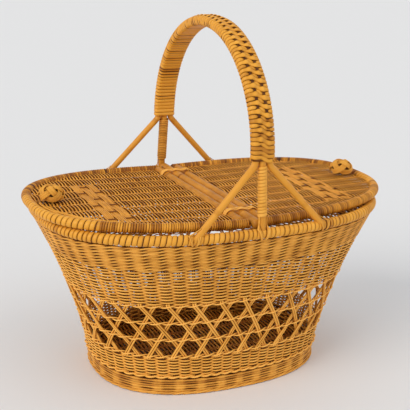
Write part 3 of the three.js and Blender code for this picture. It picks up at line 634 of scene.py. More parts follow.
def twisted_canes(random, count, columns, turns, start, height, rise, inset, depth, tone,
                  contrast, wander, waves, half_wide, half_thick, edge=0.0):
    """Canes twisted round each other along the wall. Each is a helix: its height swings by the
    rise with the sine and its inset by the depth with the cosine of the twist. By the contrast
    its tone gets painted light where it is farthest out and painted shade where it lies in."""
    share = shares_round(columns)
    twist = TURN * (turns * share + start + column(count) / count)
    tone = tone + contrast * np.cos(twist) + wander * drift(random, count, columns, waves)
    return wall_canes(share, height + rise * np.sin(twist), inset - depth * np.cos(twist),
                      half_wide, half_thick, tone, edge=edge)


class MakeUpperWall(bpy.types.Operator):
    """Weaves the wall above the openwork: plain weave and the waling under the rim."""

    bl_idname = "basket.upper_wall"
    bl_label = "Upper wall"

    def execute(self, context):
        low, high = frame_heights("upper_weave")
        make_piece("upper_weave_cane", [woven_rows(low, high, 11), stake_pairs(low, high)],
                   "body_weave", "upper_weave")
        low, high = frame_heights("upper_waling")
        lining = lining_rows(np.arange(low + 1, high, 2.2), 4.9, 1.25, 17)
        make_piece("upper_waling_cane",
                   [waled_rows(low, high, 12), lining, stake_pairs(low, high + 3)],
                   "body_weave", "upper_waling")
        return {"FINISHED"}


class MakeLowerWall(bpy.types.Operator):
    """Weaves the plain band under the openwork."""

    bl_idname = "basket.lower_wall"
    bl_label = "Lower wall"

    def execute(self, context):
        low, high = frame_heights("lower_weave")
        make_piece("lower_weave_cane", [woven_rows(low, high, 13), stake_pairs(low - 1, high)],
                   "body_weave", "lower_weave")
        return {"FINISHED"}


class MakeFoot(bpy.types.Operator):
    """Weaves the foot border: coarse rows that close up under each crossing of the openwork, a
    ledge of small loops on top and a rolled edge at the ground."""

    bl_idname = "basket.foot"
    bl_label = "Foot border"

    def execute(self, context):
        wall = context.scene.basket_wall
        random = np.random.default_rng(14)
        top = frame_heights("foot_border")[1]
        crossings = wall.stakes // 2
        roll_height = 4.2
        ledge_height = 4.7
        between = top - ledge_height - roll_height
        rows = round(between / (wall.foot_row_pitch / MM))
        pitch = between / rows
        columns = crossings * 10
        row = column(rows)
        share = shares_round(columns)
        closed_up = smooth((np.cos(TURN * crossings * share) - 0.02) / 0.60)
        bow = 0.25 * np.cos(pi * (crossings * 2 * share + row))
        height = (roll_height + (row + 0.5) * pitch
                  + 0.25 * drift(random, rows, columns, (3, 7, 15)))
        # A little painted light where the rows close up and stand out, and painted shade at the
        # rows' sides in the slits
        tone = (0.50 + 0.02 * closed_up + random.normal(0, 0.04, (rows, 1))
                + 0.1 * drift(random, rows, columns, (2, 5, 9, 17)))
        coarse = wall_canes(share, height, 1.9 - 0.8 * closed_up + bow,
                            pitch / 2 * (0.90 + 0.28 * closed_up), half_thick=1.1, tone=tone,
                            edge=0.46 - 0.36 * closed_up, sides=8, power=2.3)
        # The stakes are painted dark, as shade where they show in the slits
        stakes = stake_pairs(1.5, top + 1, tone=0.15, inset=3.0)
        waves = (3, 8, 19)
        # The roll and the ledge get painted light and shade with their twist
        roll = twisted_canes(
            random, 4, wall.stakes * 8, crossings / 2, 0, height=2.55, rise=1.25, inset=2.1,
            depth=1.7, tone=0.44, contrast=0.18, wander=0.08, waves=waves, half_wide=1.2,
            half_thick=1.2, edge=0.3)
        ledge = twisted_canes(
            random, 2, wall.stakes * 8, wall.stakes / 2, -0.25, height=top - 1.1, rise=0.75,
            inset=1.2, depth=2.0, tone=0.6, contrast=0.16, wander=0.06, waves=waves,
            half_wide=1.15, half_thick=1.05)
        # The lining's outer face is painted dark, as shade behind the rows
        lining = lining_rows(np.linspace(2.5, top - 0.8, 9), 5.3, 1.5, 18)
        make_piece("foot_border_cane", [coarse, stakes, roll, ledge, lining], "body_weave",
                   "foot_border")
        return {"FINISHED"}


class MakeOpenwork(bpy.types.Operator):
    """Crosses the slanting pairs of canes and twines them together between the rows."""

    bl_idname = "basket.openwork"
    bl_label = "Openwork"

    def execute(self, context):
        wall = context.scene.basket_wall
        random = np.random.default_rng(15)
        low, high = frame_heights("openwork")
        twine_height = 4.2
        middle_inset = 2.3
        bottom = low + twine_height / 2
        top = high - twine_height / 2
        row_height = (top - bottom) / wall.openwork_rows
        columns = wall.stakes // 2
        stations = 40
        past_end = 1.5
        pass_over = 1.2
        half = 1.22 * wall.reed / MM / 2
        aside = 1.08 * half
        heights = np.linspace(low - past_end, high + past_end, stations)
        passed = (np.clip(heights, bottom, top) - bottom) / row_height - 0.5
        bundles = []
        for lean in (1, -1):
            shares = (column(columns) / columns + lean * passed / wall.stakes
                      + random.normal(0, 0.0004, (columns, 1)))
            swap = np.tanh((heights - bottom - row_height) / 3)
            inset = (middle_inset + lean * swap * pass_over
                     + random.normal(0, 0.12, (columns, 1)))
            points, outward = side_by_side(
                wall_point(shares, heights, inset), wall_outward(shares, heights),
                (-aside, aside))
            tone = (0.64 + random.normal(0, 0.05, (2 * columns, 1))
                    + 0.08 * drift(random, 2 * columns, stations, (1, 2, 5), closed=False))
            # Painted shade at the sides of each cane
            bundles.append(strands(points, outward, half * 0.98, half, tone, sides=8, edge=0.3))

        # Twined rows: two canes a half turn apart, going round one pair for each half twist
        columns = wall.stakes * 7
        for row in range(wall.openwork_rows + 1):
            wobble = 0.35 * drift(random, 1, columns, (3, 8, 19, 37))
            # The twined canes get painted light where they stand out and painted shade where they
            # lie in
            bundles.append(twisted_canes(
                random, 2, columns, wall.stakes / 2, -0.25,
                height=bottom + row * row_height + wobble, rise=1.05, inset=middle_inset,
                depth=2.45, tone=0.72, contrast=0.14, wander=0.08, waves=(2, 5, 13),
                half_wide=0.85, half_thick=0.8))
        make_piece("openwork_cane", bundles, "body_weave", "openwork")
        return {"FINISHED"}


def woven_sheet(places, reach, rib_pitch, parity, stations, level, swing, half_wide,
                half_thick, seed, shape=stack, sides=6, edge=0.15, tone=0.62):
    """Weavers along Y, over and under ribs that run along X. At rib n a weaver stands one swing
    above or below the level, and goes between them by a smooth step. Close to the ribs that it
    goes under it is painted dark as shade, and it gets a little painted light where it is proud;
    the painted shade at its sides is strongest close to the ribs. Places are the weavers' X, and
    reach is half their length."""
    random = np.random.default_rng(seed)
    count = len(places)
    y = reach[:, None] * np.linspace(-1, 1, stations)
    x = places[:, None] + 0.12 * drift(random, count, stations, (1, 3, 7), closed=False)
    along = y / rib_pitch
    rib = np.floor(along).astype(int)
    here = parity(column(count), rib)
    there = parity(column(count), rib + 1)
    wave = here + (there - here) * smooth((along - rib - 0.5) * 1.35 + 0.5)
    shade = (tone + random.normal(0, 0.06, (count, 1))
             + 0.08 * drift(random, count, stations, (1, 2, 5), closed=False))

    def close_to_rib(side):
        return smooth((side - 0.5) / 0.45)

    # Painted shade on a face close to the ribs where it lies under, and a little painted light
    # where it is proud
    upper, lower = (shade + 0.10 * proud - 0.72 * close_to_rib(-proud)
                    for proud in (wave, -wave))
    edge = edge * (0.3 + 0.7 * close_to_rib(np.abs(wave)))
    return strands(shape(x, y, level + swing * wave), UP, half_wide, half_thick, upper,
                   sides=sides, edge=edge, inner=lower)


class MakeBase(bpy.types.Operator):
    """Weaves the mat of the base over its sticks."""

    bl_idname = "basket.base"
    bl_label = "Base mat"

    def execute(self, context):
        low, high = frame_box("base_mat")
        border = 0.5
        half_length = high[0] + border
        half_width = high[1] + border
        pitch = 2.6
        stick_pitch = 30
        count = int(2 * (high[0] - border) / pitch)
        places = (np.arange(count) - (count - 1) / 2) * pitch
        reach = oval_reach(places, half_length, half_width,
                           context.scene.basket_wall.foot_power) - 1

        def parity(weaver, stick):
            return alternate(weaver + stick)

        mat = woven_sheet(places, reach, stick_pitch, parity, 64, (low[2] + high[2]) / 2, 1.1,
                          1.5, 0.95, 16, tone=0.30)
        make_piece("base_mat_cane", [mat], "body_weave", "base_mat")
        names = [f"base_stick_{number}" for number in range(1, 6)]
        rows = []
        for name in names:
            low, high = frame_box(name)
            x = np.linspace(low[0] + 0.4, high[0] - 0.4, 30)
            rows.append(stack(x, (low[1] + high[1]) / 2, (low[2] + high[2]) / 2))
        radius = (high[2] - low[2]) / 2
        sticks = strands(np.array(rows), UP, radius, radius, sides=12)
        make_piece("base_sticks", [sticks], "bare_rod", *names)
        return {"FINISHED"}


# Wound canes

def wound_turns(random, length, pitch_at):
    """Edges of the turns of a cane wound along a length, with widths that vary by a tenth."""
    edges = [0.0]
    while edges[-1] < length:
        edges.append(edges[-1] + pitch_at(edges[-1]) * random.uniform(0.88, 1.14))
    return np.array(edges) * length / edges[-1]


def wound_cane(middle_at, edges, radius, half_thick, random, steps=14, tone=0.55, spread=0.1,
               edge=0.2):
    """Flat cane wound round a curve in one unbroken spiral. Turn k lies between edges k and
    k + 1 along the curve, and the angle round the curve grows by one turn between them.
    middle_at gives the curve's point and its two cross directions at lengths along it. Tone is
    one shade, or one for each turn, and the sides of each turn get painted shade."""
    turns = len(edges) - 1
    travel = np.arange(turns * steps + 1) / steps
    lengths = np.interp(travel, np.arange(turns + 1), edges)
    widths = np.interp(travel, np.arange(turns) + 0.5, np.diff(edges))
    middle, first, second = middle_at(lengths)
    angle = TURN * travel[:, None]
    out = first * np.cos(angle) + second * np.sin(angle)
    points = middle + out * (radius + half_thick * 0.9)
    turn_tone = np.broadcast_to(tone, turns) + random.normal(0, spread, turns)
    tones = np.interp(travel, np.arange(turns) + 0.5, turn_tone)
    return strands(points, out, widths / 2 * 0.95, half_thick, tones, sides=8, power=2.3,
                   edge=edge)


def oval_path(first, last, half_length, half_width, power, height):
    """A level oval between two angles, as wound_cane wants it: a function of lengths along it.
    The oval's whole length comes with it."""
    shares, angles, total = angle_table(first, last, half_length, half_width, power)

    def middle_at(lengths):
        angle = np.interp(lengths / total, shares, angles)
        x, y = oval(angle, half_length, half_width, power)
        out = oval_outward(x, y, half_length, half_width, power)
        return stack(x, y, height), out, np.broadcast_to(UP, out.shape)

    return middle_at, total


def dark_core(middle_at, lengths, radius, closed=False):
    """The rod that shows between the turns of a wound cane, painted dark as shade in the gaps
    between them.
    """
    middle, out, _ = middle_at(lengths)
    return strands(middle, out, radius, radius, 0.12, sides=12, closed=closed)


class MakeRim(bpy.types.Operator):
    """Winds the flat cane round the rim rod of the basket."""

    bl_idname = "basket.rim"
    bl_label = "Rim"

    def execute(self, context):
        wall = context.scene.basket_wall
        random = np.random.default_rng(21)
        middle_at, girth = oval_path(0, TURN, *RIM_HALVES, wall.rim_power, RIM_HEIGHT)
        pitch = wall.rim_pitch / MM
        edges = wound_turns(random, girth, lambda at: pitch)
        core_radius = RIM_RADIUS - 1.5
        cane = wound_cane(middle_at, edges, core_radius, 0.8, random, steps=16, tone=0.57)
        core = dark_core(middle_at, shares_round(400) * girth, core_radius, closed=True)
        make_piece("rim_hoop_cane", [cane, core], "rim_cane", "rim_hoop")
        return {"FINISHED"}


# Handle

def arch_at(part, x, outside):
    """The arch at a part of half a turn: half a width times minus the cosine along Y, and the
    rise times the sine upwards, moved outwards along the arch's own slope."""
    angle = pi * np.asarray(part, float)
    outward = unit(stack(0 * angle, -np.cos(angle) / ARCH_HALF_WIDTH, np.sin(angle) / ARCH_RISE))
    points = stack(x, -ARCH_HALF_WIDTH * np.cos(angle), ARCH_START + ARCH_RISE * np.sin(angle))
    return points + outward * np.broadcast_to(outside, angle.shape)[..., None], outward


def arch_lengths():
    """Parts of the arch and how long it is up to each of them."""
    parts = np.linspace(0, 1, 2001)
    steps = np.linalg.norm(np.diff(arch_at(parts, 0, 0)[0], axis=0), axis=1)
    return parts, np.concatenate([[0], np.cumsum(steps)])


def slanting_leg():
    """Foot and elbow of the front slanting leg on the +X side, and its rod's radius."""
    handle = bpy.context.scene.basket_handle
    power = bpy.context.scene.basket_wall.rim_power
    past_rim = 3
    gap = 0.3
    side_radius = (WRAP_HIGH[0] - LEG_RADIUS - WRAP_DEPTH - gap) / 2
    place = handle.leg_spread / MM
    start = np.array([place, -oval_reach(place, *RIM_HALVES, power), RIM_HEIGHT])
    start = start + oval_outward(start[0], start[1], *RIM_HALVES, power) * past_rim
    elbow = np.array([LEG_RADIUS + gap + side_radius, -ARCH_HALF_WIDTH,
                      ARCH_START - handle.leg_bend / MM])
    return start, elbow, side_radius


class MakeHandleRods(bpy.types.Operator):
    """Bends the three bare rods of the handle."""

    bl_idname = "basket.handle_rods"
    bl_label = "Handle rods"

    def execute(self, context):
        steps = np.linspace(0, 1, 16, endpoint=False)[:, None]
        centre_leg = LEG_FOOT + (LEG_TOP - LEG_FOOT) * steps
        start, elbow, side_radius = slanting_leg()
        bend_start = (elbow + unit(start - elbow)
                      * context.scene.basket_handle.leg_bend / MM)
        bend_end = np.array([elbow[0], -ARCH_HALF_WIDTH, ARCH_START])
        straight = start + (bend_start - start) * steps
        turn = ((1 - steps) ** 2 * bend_start + 2 * (1 - steps) * steps * elbow
                + steps ** 2 * bend_end)
        right_leg = np.concatenate([straight, turn])
        for name, leg, x, radius, tone in (
                ("handle_centre_rod", centre_leg, 0.0, LEG_RADIUS, 0.5),
                ("handle_side_rod_right", right_leg, elbow[0], side_radius, 0.56),
                ("handle_side_rod_left", right_leg * OTHER_SIDE, -elbow[0], side_radius, 0.54)):
            arch, arch_out = arch_at(np.linspace(0, 1, 97), x, 0)
            front = np.broadcast_to([0.0, -1.0, 0.0], leg.shape)
            points = np.concatenate([leg, arch, leg[::-1] * np.array([1, -1, 1])])
            outward = np.concatenate([front, arch_out, -front])
            rod = strands(points, outward, radius, radius, tone, sides=16)
            make_piece(name + "_bent", [rod], "bare_rod", name)
        return {"FINISHED"}


def rounded_box(passed, wide, deep, corner):
    """A point of a rounded rectangle and its outward direction, by the length passed clockwise
    from the start of its outer side. Wide and deep are the halves between the corners' middles.
    The middle of the corner circle moves along the straight runs, and the direction turns by a
    quarter on each corner."""
    quarter = corner * pi / 2
    stops = np.cumsum([0, 2 * wide, quarter, 2 * deep, quarter, 2 * wide, quarter, 2 * deep])
    turn = sum(np.clip((passed - stops[run]) / corner, 0, pi / 2) for run in (1, 3, 5, 7))
    x = -wide + np.clip(passed, 0, 2 * wide) - np.clip(passed - stops[4], 0, 2 * wide)
    y = deep - np.clip(passed - stops[2], 0, 2 * deep) + np.clip(passed - stops[6], 0, 2 * deep)
    out_x = np.sin(turn)
    out_y = np.cos(turn)
    return x + corner * out_x, y + corner * out_y, out_x, out_y


class MakeHandleWrap(bpy.types.Operator):
    """Winds the cane round the three rods, and weaves it over and under the two leaders on the
    outer side."""

    bl_idname = "basket.handle_wrap"
    bl_label = "Handle wrap"

    def execute(self, context):
        handle = context.scene.basket_handle
        random = np.random.default_rng(31)
        parts, lengths = arch_lengths()
        total = lengths[-1]
        pitch = handle.wrap_pitch / MM
        turns = round(total / pitch)
        steps = 40
        travel = np.arange(turns * steps + 1) / steps
        turn = np.minimum(np.floor(travel), turns - 1)
        share = travel - turn
        ends = np.arange(turns + 1)

        # Once round: over the outer side in the first part of the turn, then down one edge,
        # back under the inner side and up the other. Mirrored, so it slants downwards.
        half_wide = WRAP_HIGH[0] - 0.7
        half_deep = LEG_RADIUS + 0.9
        corner = 3.6
        flat_wide = half_wide - corner
        flat_deep = half_deep - corner
        girth = 4 * (flat_wide + flat_deep) + TURN * corner
        outer_share = 0.42
        outer = share < outer_share
        outer_length = 2 * flat_wide
        around = np.where(
            outer, share / outer_share * outer_length,
            outer_length + (share - outer_share) / (1 - outer_share) * (girth - outer_length))
        x, deep, out_x, out_deep = rounded_box(around, flat_wide, flat_deep, corner)
        x = -x

        # The whole advance of a turn happens on the outer side, so the inner side is square
        advance = np.where(outer, smooth((share / outer_share - 0.5) * 1.7 + 0.5), 1.0)
        jitter = np.interp(travel, ends, random.normal(0, 0.12, turns + 1))
        place = np.clip((turn + advance) * total / turns + jitter, 0, total)

        # Leaders: even turns ride over both of them and odd turns dip under both
        bare_end = 15
        fade = 6
        bump = 2.5
        woven = (smooth((place - bare_end) / fade)
                 * smooth((total - place - bare_end) / fade))
        leader_x = handle.leader_spacing / MM / 2
        over = sum(np.exp(-((x - leader) / bump) ** 2) for leader in (-leader_x, leader_x))
        ride = over * alternate(turn) * outer
        above = 1.7
        below = 0.9
        lift = np.where(ride > 0, above * ride, below * ride) * woven
        points, outward = arch_at(np.interp(place, lengths, parts), x, deep + lift)
        across = outward * out_deep[:, None] + stack(-out_x, 0, 0)
        swell = np.where(outer, 1 + 0.38 * ride * woven, 1.0)
        widths = pitch / 2 * 0.97 * swell * (1 + np.interp(
            travel, ends, random.normal(0, 0.06, turns + 1)))
        # Painted light on the inner side, lighter turns where they ride over the leaders and
        # painted shade where they dip under
        tone = (np.where(deep < 0, 0.64, 0.52) + 0.12 * ride * woven + np.interp(
            travel, ends + 0.5, random.normal(0, 0.07, turns + 1)))
        # Painted shade at the sides of the turns: strong on the inner side at three turns in ten,
        # a little on the outer side and more over the leaders
        seldom = np.where(random.uniform(0, 1, turns) < 0.3, 0.75, 0.10)[turn.astype(int)]
        edge = np.where(deep < 0, seldom, 0.06 + 0.16 * over * outer)
        cane = strands(points, across, widths, 0.68, tone, sides=8, power=2.3, edge=edge)

        # A dark core keeps the gaps between the turns closed, painted dark as shade in them
        core_parts = np.linspace(0, 1, 121)
        deeper = 0.7
        core_x, core_out = oval(shares_round(24) * TURN, half_wide - deeper,
                                half_deep - deeper, 2 / 0.62)
        middle, outward = arch_at(core_parts, 0, 0)
        verts = middle[:, None] + outward[:, None] * core_out[:, None] + stack(core_x, 0, 0)
        core = rings(verts, np.interp(core_parts, parts, lengths), 0.1)
        make_piece("handle_wrap_cane", [cane, core], "rim_cane", "handle_wrap")

        leader_start = 3 / 28
        leader_end = 25 / 28
        leader_depth = 1.5
        for name, x_leader in (("left", -leader_x), ("right", leader_x)):
            points, outward = arch_at(np.linspace(leader_start, leader_end, 240), x_leader,
                                      LEG_RADIUS + leader_depth)
            # The leaders are painted black, as shade where they show in the holes
            strip = strands(points, outward, half_wide=1.7, half_thick=0.4, tone=0.0)
            make_piece(f"handle_leader_{name}_cane", [strip], "tie_cane",
                       f"handle_leader_{name}")
        return {"FINISHED"}


class MakeLegWraps(bpy.types.Operator):
    """Winds the cane round the two centre legs and ties the six feet to the rim."""

    bl_idname = "basket.leg_wraps"
    bl_label = "Leg wraps and foot ties"

    def execute(self, context):
        handle = context.scene.basket_handle
        up = unit(LEG_TOP - LEG_FOOT)
        side = np.array([1.0, 0.0, 0.0])
        low, high = frame_heights("leg_wrap_front")
        start = LEG_FOOT + up * ((low - LEG_FOOT[2]) / up[2])

        def middle_at(lengths):
            points = start + up * lengths[:, None]
            return (points, np.broadcast_to(side, points.shape),
                    np.broadcast_to(np.cross(up, side), points.shape))

        # For each leg: its end, its sign, its pitch, the gap round the rod, the painted shade at
        # the sides of its turns, and a seed
        for end, sign, pitch, gap, edge, seed in (
                ("front", 1, handle.front_leg_pitch / MM, 0.1, 0.05, 41),
                ("back", -1, handle.back_leg_pitch / MM, 0.9, 0.4, 42)):
            random = np.random.default_rng(seed)
            edges = wound_turns(random, (high - low) / up[2], lambda at: pitch)
            cane = wound_cane(middle_at, edges, LEG_RADIUS + gap, 0.55, random, steps=18,
                              tone=0.56, spread=0.07, edge=edge)
            make_piece(f"leg_wrap_{end}_cane", half_round([cane], sign), "tie_cane",
                       f"leg_wrap_{end}")
        foot, elbow, side_radius = slanting_leg()
        slant = unit(elbow - foot)
        for end, sign in (("front", 1), ("back", -1)):
            for place, at, axis, radius, size in (
                    ("middle", LEG_FOOT, up, LEG_RADIUS, 1.0),
                    ("right", foot, slant, side_radius, 0.54),
                    ("left", foot * OTHER_SIDE, slant * OTHER_SIDE, side_radius, 0.54)):
                tie = half_round(foot_tie(at, axis, radius, size), sign)
                make_piece(f"foot_tie_{end}_{place}", tie, "tie_cane",
                           f"foot_lashing_{end}_{place}")
        return {"FINISHED"}


def foot_tie(foot, axis, rod_radius, size):
    """Flat canes that hold a leg's foot on the rim. Two pairs of strips start at the sides of
    the rod, run down over the outside of the rim and meet in a V under it: with t from 0 to 1
    the strip slides from beside the rod to the middle, while its angle round the rim goes from
    the upper to the lower one. Each strip's points are then averaged with their neighbours."""
    power = bpy.context.scene.basket_wall.rim_power
    out = oval_outward(foot[0], foot[1], *RIM_HALVES, power)
    along = np.array([-out[1], out[0], 0.0])
    middle = np.array([foot[0], -oval_reach(foot[0], *RIM_HALVES, power), RIM_HEIGHT])
    rod_out = unit(out - (out @ axis) * axis)
    beside = unit(np.cross(axis, rod_out))
    if along @ beside < 0:
        beside = -beside
    upper = radians(52)
    lower = radians(-72)
    farthest_round = radians(78)
    lift = (RIM_RADIUS + 2) / axis[2]
    climbed = np.linspace(1, 0, 12, endpoint=False)
    t = np.linspace(0, 1, 30)
    angle = upper + (lower - upper) * smooth(t * 1.15 - 0.15)
    rim_out = out * np.cos(angle)[:, None] + UP * np.sin(angle)[:, None]
    bundles = []
    for hand in (-1, 1):
        for order, shift in ((0, 0.0), (1, 2.1)):
            climb = (11 - order * 3.5) * size ** 2
            spread = hand * (rod_radius + 1.2 + shift) * (1 - t ** 1.3 * 0.88)
            radius = RIM_RADIUS + 0.7 + 0.36 * np.sin(pi * t) + order * 0.25
            on_rim = middle + along * spread[:, None] + rim_out * radius[:, None]
            round_angle = hand * farthest_round * (1 - 0.15 * climbed)
            on_rod_out = (rod_out * np.cos(round_angle)[:, None]
                          + beside * np.sin(round_angle)[:, None])
            on_rod = (foot + axis * (lift + climb * climbed)[:, None]
                      + on_rod_out * (rod_radius + 0.6))
            points = np.concatenate([on_rod, on_rim])
            outs = np.concatenate([on_rod_out, rim_out])
            for _ in range(6):
                points[1:-1] = (points[:-2] + 2 * points[1:-1] + points[2:]) / 4
                outs[1:-1] = unit(outs[:-2] + 2 * outs[1:-1] + outs[2:])
            # The strips get painted shade at their sides
            bundles.append(strands(points, outs, 1.2 * size, 0.55 * size,
                                   0.56 + 0.06 * order + 0.04 * hand, sides=8, power=2.6,
                                   edge=0.22))
    return bundles


# Hinge and lids

def hinge_rod(x, low, high, bump, long_wave, short_wave, phase=0):
    """A bare rod along Y at the hinge's height, whose radius swells a little by two sines."""
    y = np.linspace(low[1], high[1], 90)
    radius = ((high[2] - low[2]) / 2
              * (1 + bump * np.sin(y / short_wave + phase) * np.sin(y / long_wave)))
    return strands(stack(x, y, HINGE_HEIGHT), UP, radius, radius, 0.43, sides=20)


class MakeHinge(bpy.types.Operator):
    """The fixed bar across the mouth and the cane loops that tie the lids to it."""

    bl_idname = "basket.hinge"
    bl_label = "Hinge bar and loops"

    def execute(self, context):
        random = np.random.default_rng(51)
        bar = hinge_rod(0, BAR_LOW, BAR_HIGH, 0.018, 23, 9)
        make_piece("hinge_bar_rod", [bar], "bare_rod", "hinge_bar")
        columns = 96
        for end in ("front", "back"):
            low, high = frame_box(f"hinge_lashing_{end}")
            middle = (low[1] + high[1]) / 2
            bend = (high[2] - low[2]) / 2 - 0.75
            flat = 2 * HINGE_X

            # Once round the three rods: along the top, round the right lid's rod, back along
            # the underside and round the left lid's rod
            passed = shares_round(columns) * (2 * flat + TURN * bend)
            angle = (pi / 2 - np.clip((passed - flat) / bend, 0, pi)
                     - np.clip((passed - 2 * flat) / bend - pi, 0, pi))
            x = (-HINGE_X + np.clip(passed, 0, flat)
                 - np.clip(passed - flat - pi * bend, 0, flat) + bend * np.cos(angle))
            on_top = passed < flat
            sag = np.where(on_top, 0.54 * np.cos(TURN * x / HINGE_X) - 0.24, 0)
            sway = np.where(on_top, 1.2 * np.sin(pi * x / HINGE_X), 0)
            out = stack(np.cos(angle), 0, np.sin(angle))
            bundles = []
            for offset, hand in ((-2.3, -1), (0.0, 1), (2.3, -1)):
                points = stack(x, middle + offset + sway * hand,
                               HINGE_HEIGHT + bend * np.sin(angle) + sag)
                shade = 0.72 + 0.12 * drift(random, 1, columns, (2, 3, 7))
                bundles.append(strands(points, out, 1.15, 0.62, shade, sides=8, closed=True,
                                       power=2.4))
            make_piece(f"hinge_lashing_{end}_cane", bundles, "tie_cane",
                       f"hinge_lashing_{end}")
        return {"FINISHED"}


def lid_piece(lid, side, name, bundles, slot, *nodes, look=None):
    """A piece of a lid, from bundles that lie on a level lid on the +X side. They are tilted up
    about its hinge rod, by the sine and the cosine of its tilt, and then turned half round for
    the left lid. The names are those that follow the lid's own."""
    tilt = np.array([[cos(lid.tilt), 0, sin(lid.tilt)], [0, 1, 0],
                     [-sin(lid.tilt), 0, cos(lid.tilt)]])
    hinge = np.array([HINGE_X, 0, HINGE_HEIGHT])
    tilted = [{**bundle, "verts": (bundle["verts"] - hinge) @ tilt + hinge}
              for bundle in bundles]
    body = f"{side}_lid"
    make_piece(f"{body}_{name}", half_round(tilted, SIDES[side]), slot,
               *[f"{body}_{node}" for node in nodes], body=body, look=look)


def lid_crown(lid, x, y):
    """How far a lid's weave rises: most near the hinge, and nothing at the hoop. Each way it
    falls with the square of the share of its reach."""
    side_reach = 112
    end_reach = 205
    across = np.clip(1 - (y / side_reach) ** 2, 0, 1)
    along = np.clip(1 - (np.abs(x) / end_reach) ** 2, 0, 1)
    return lid.crown / MM * across * along


def rib_bow(x, y):
    """How far the ribs bow to one side on their way from the hinge, most in the middle."""
    most = 2.2
    end_reach = 200
    side_reach = 118
    return (most * (np.abs(x) / end_reach) ** 1.6
            * np.clip(1 - np.abs(y) / side_reach, 0, 1))


SIDES = {"right": 1, "left": -1}
# Where the weavers of each lid go together in blocks instead of one by one: the first of them
# and the end, counted from the hinge
BLOCK_WEAVERS = {"left": (52, 67), "right": (48, 66)}
BLOCK_RIBS = (-3, 2)
BLOCK_SIZE = 5


class MakeLids(bpy.types.Operator):
    """Weaves the two lids over their ribs, winds their hoops and adds their rods."""

    bl_idname = "basket.lids"
    bl_label = "Lids"

    def execute(self, context):
        lid = context.scene.basket_lid
        for side, sign in SIDES.items():
            self.panel(lid, side, sign)
            self.hoop(lid, side, sign)
            rod = hinge_rod(HINGE_X, LID_ROD_LOW, LID_ROD_HIGH, 0.02, 19, 11, sign)
            lid_piece(lid, side, "hinge_rod_bare", [rod], "bare_rod", "hinge_rod")
        return {"FINISHED"}

    def panel(self, lid, side, sign):
        half_length = lid.half_length / MM
        half_width = lid.half_width / MM
        pitch = lid.weaver_pitch / MM
        rib_pitch = lid.rib_pitch / MM
        start = PANEL_START + pitch / 2
        end_gap = 5.8
        side_gap = 3
        places = start + pitch * np.arange(int((half_length - end_gap - start) / pitch))
        reach = oval_reach(places, half_length - side_gap, half_width - side_gap, lid.power)
        level = HINGE_HEIGHT + PANEL_RISE
        first, end = BLOCK_WEAVERS[side]

        def parity(weaver, rib):
            in_block = ((weaver >= first) & (weaver < end)
                        & (rib * sign >= BLOCK_RIBS[0]) & (rib * sign <= BLOCK_RIBS[1]))
            number = np.where(in_block, (weaver - first) // BLOCK_SIZE, weaver)
            over = alternate(number + rib)
            return over * np.where(in_block, np.where(over > 0, 0.75, 0.20), 1)

        def shape(x, y, z):
            return stack(x, y - sign * rib_bow(x, y), z + lid_crown(lid, x, y))

        stations = 90
        far = np.linspace(-1, 1, stations) * reach[:, None] * sign
        narrow = 1 - 0.30 * smooth((far - rib_pitch * 4.1) / 5)
        weavers = woven_sheet(places, reach, rib_pitch, parity, stations, level, 1.42,
                              pitch / 2 * 0.98 * narrow, 0.45, 61 if sign > 0 else 62, shape,
                              sides=8, edge=0.5, tone=0.55)
        lid_piece(lid, side, "weave", [weavers], "lid_weave", "panel")

        rib_radius = 1.25
        rib_gap = 4
        rows = []
        for y in np.arange(-4, 5) * rib_pitch:
            rib_end = oval_reach(y, half_width, half_length, lid.power) - rib_gap
            rows.append(shape(np.linspace(PANEL_START + 0.5, rib_end, 60), y, level))
        # The ribs' upper halves are painted dark, as shade where they show between the weavers
        ribs = strands(np.array(rows), UP, rib_radius, rib_radius, 0.10, sides=8, inner=0.5)
        lid_piece(lid, side, "ribs", [ribs], "bare_rod",
                  *[f"rib_{number}" for number in range(1, 10)], look="lid_weave")

    def hoop(self, lid, side, sign):
        random = np.random.default_rng(63 if sign > 0 else 64)
        hoop_radius = lid.hoop / MM / 2
        core_radius = hoop_radius - 1.2
        half_length = lid.half_length / MM
        half_width = lid.half_width / MM
        start = np.arccos(((HINGE_X - hoop_radius) / half_length) ** (lid.power / 2))
        middle_at, length = oval_path(-start, start, half_length, half_width, lid.power,
                                      HINGE_HEIGHT)
        behind_from = 30
        coarse_from, coarse_front = (168, -np.inf) if sign > 0 else (150, -92)

        def pitch_at(at):
            x, y = middle_at(np.array([at]))[0][0, :2] * sign
            coarse = abs(x) > coarse_from and coarse_front < y < behind_from
            return (lid.hoop_end_pitch if coarse else lid.hoop_pitch) / MM

        edges = wound_turns(random, length, pitch_at)
        behind = middle_at(edges[:-1])[0][:, 1] * sign > behind_from
        tone = np.where(np.diff(edges) > 0.7 * lid.hoop_end_pitch / MM, 0.62,
                        np.where(behind, 0.38, 0.43))
        parts = [wound_cane(middle_at, edges, core_radius, 0.66, random, tone=tone, spread=0.12),
                 dark_core(middle_at, np.linspace(0, length, 300), core_radius)]
        if side == "left":
            # Three loose ends lie inside the hoop, from beside the knob round to the front
            stations = 70
            first, last, depth = np.array([
                [0.02, 0.66, 6.6], [0.06, 0.90, 8.7], [0.10, 0.74, 11.2]]).T[..., None]
            angle = first + (last - first) * np.linspace(0, 1, stations)
            inset = depth + 0.9 * drift(random, 3, stations, (1, 2), closed=False)
            x, y = oval(angle, half_length - inset, half_width - inset, lid.power)
            z = HINGE_HEIGHT + 3.4 + 0.3 * drift(random, 3, stations, (1, 2, 3), closed=False)
            parts.append(strands(stack(x, y, z), UP, 0.85, 0.6, 0.72, edge=0.2))
        lid_piece(lid, side, "hoop_cane", parts, "rim_cane", "hoop")


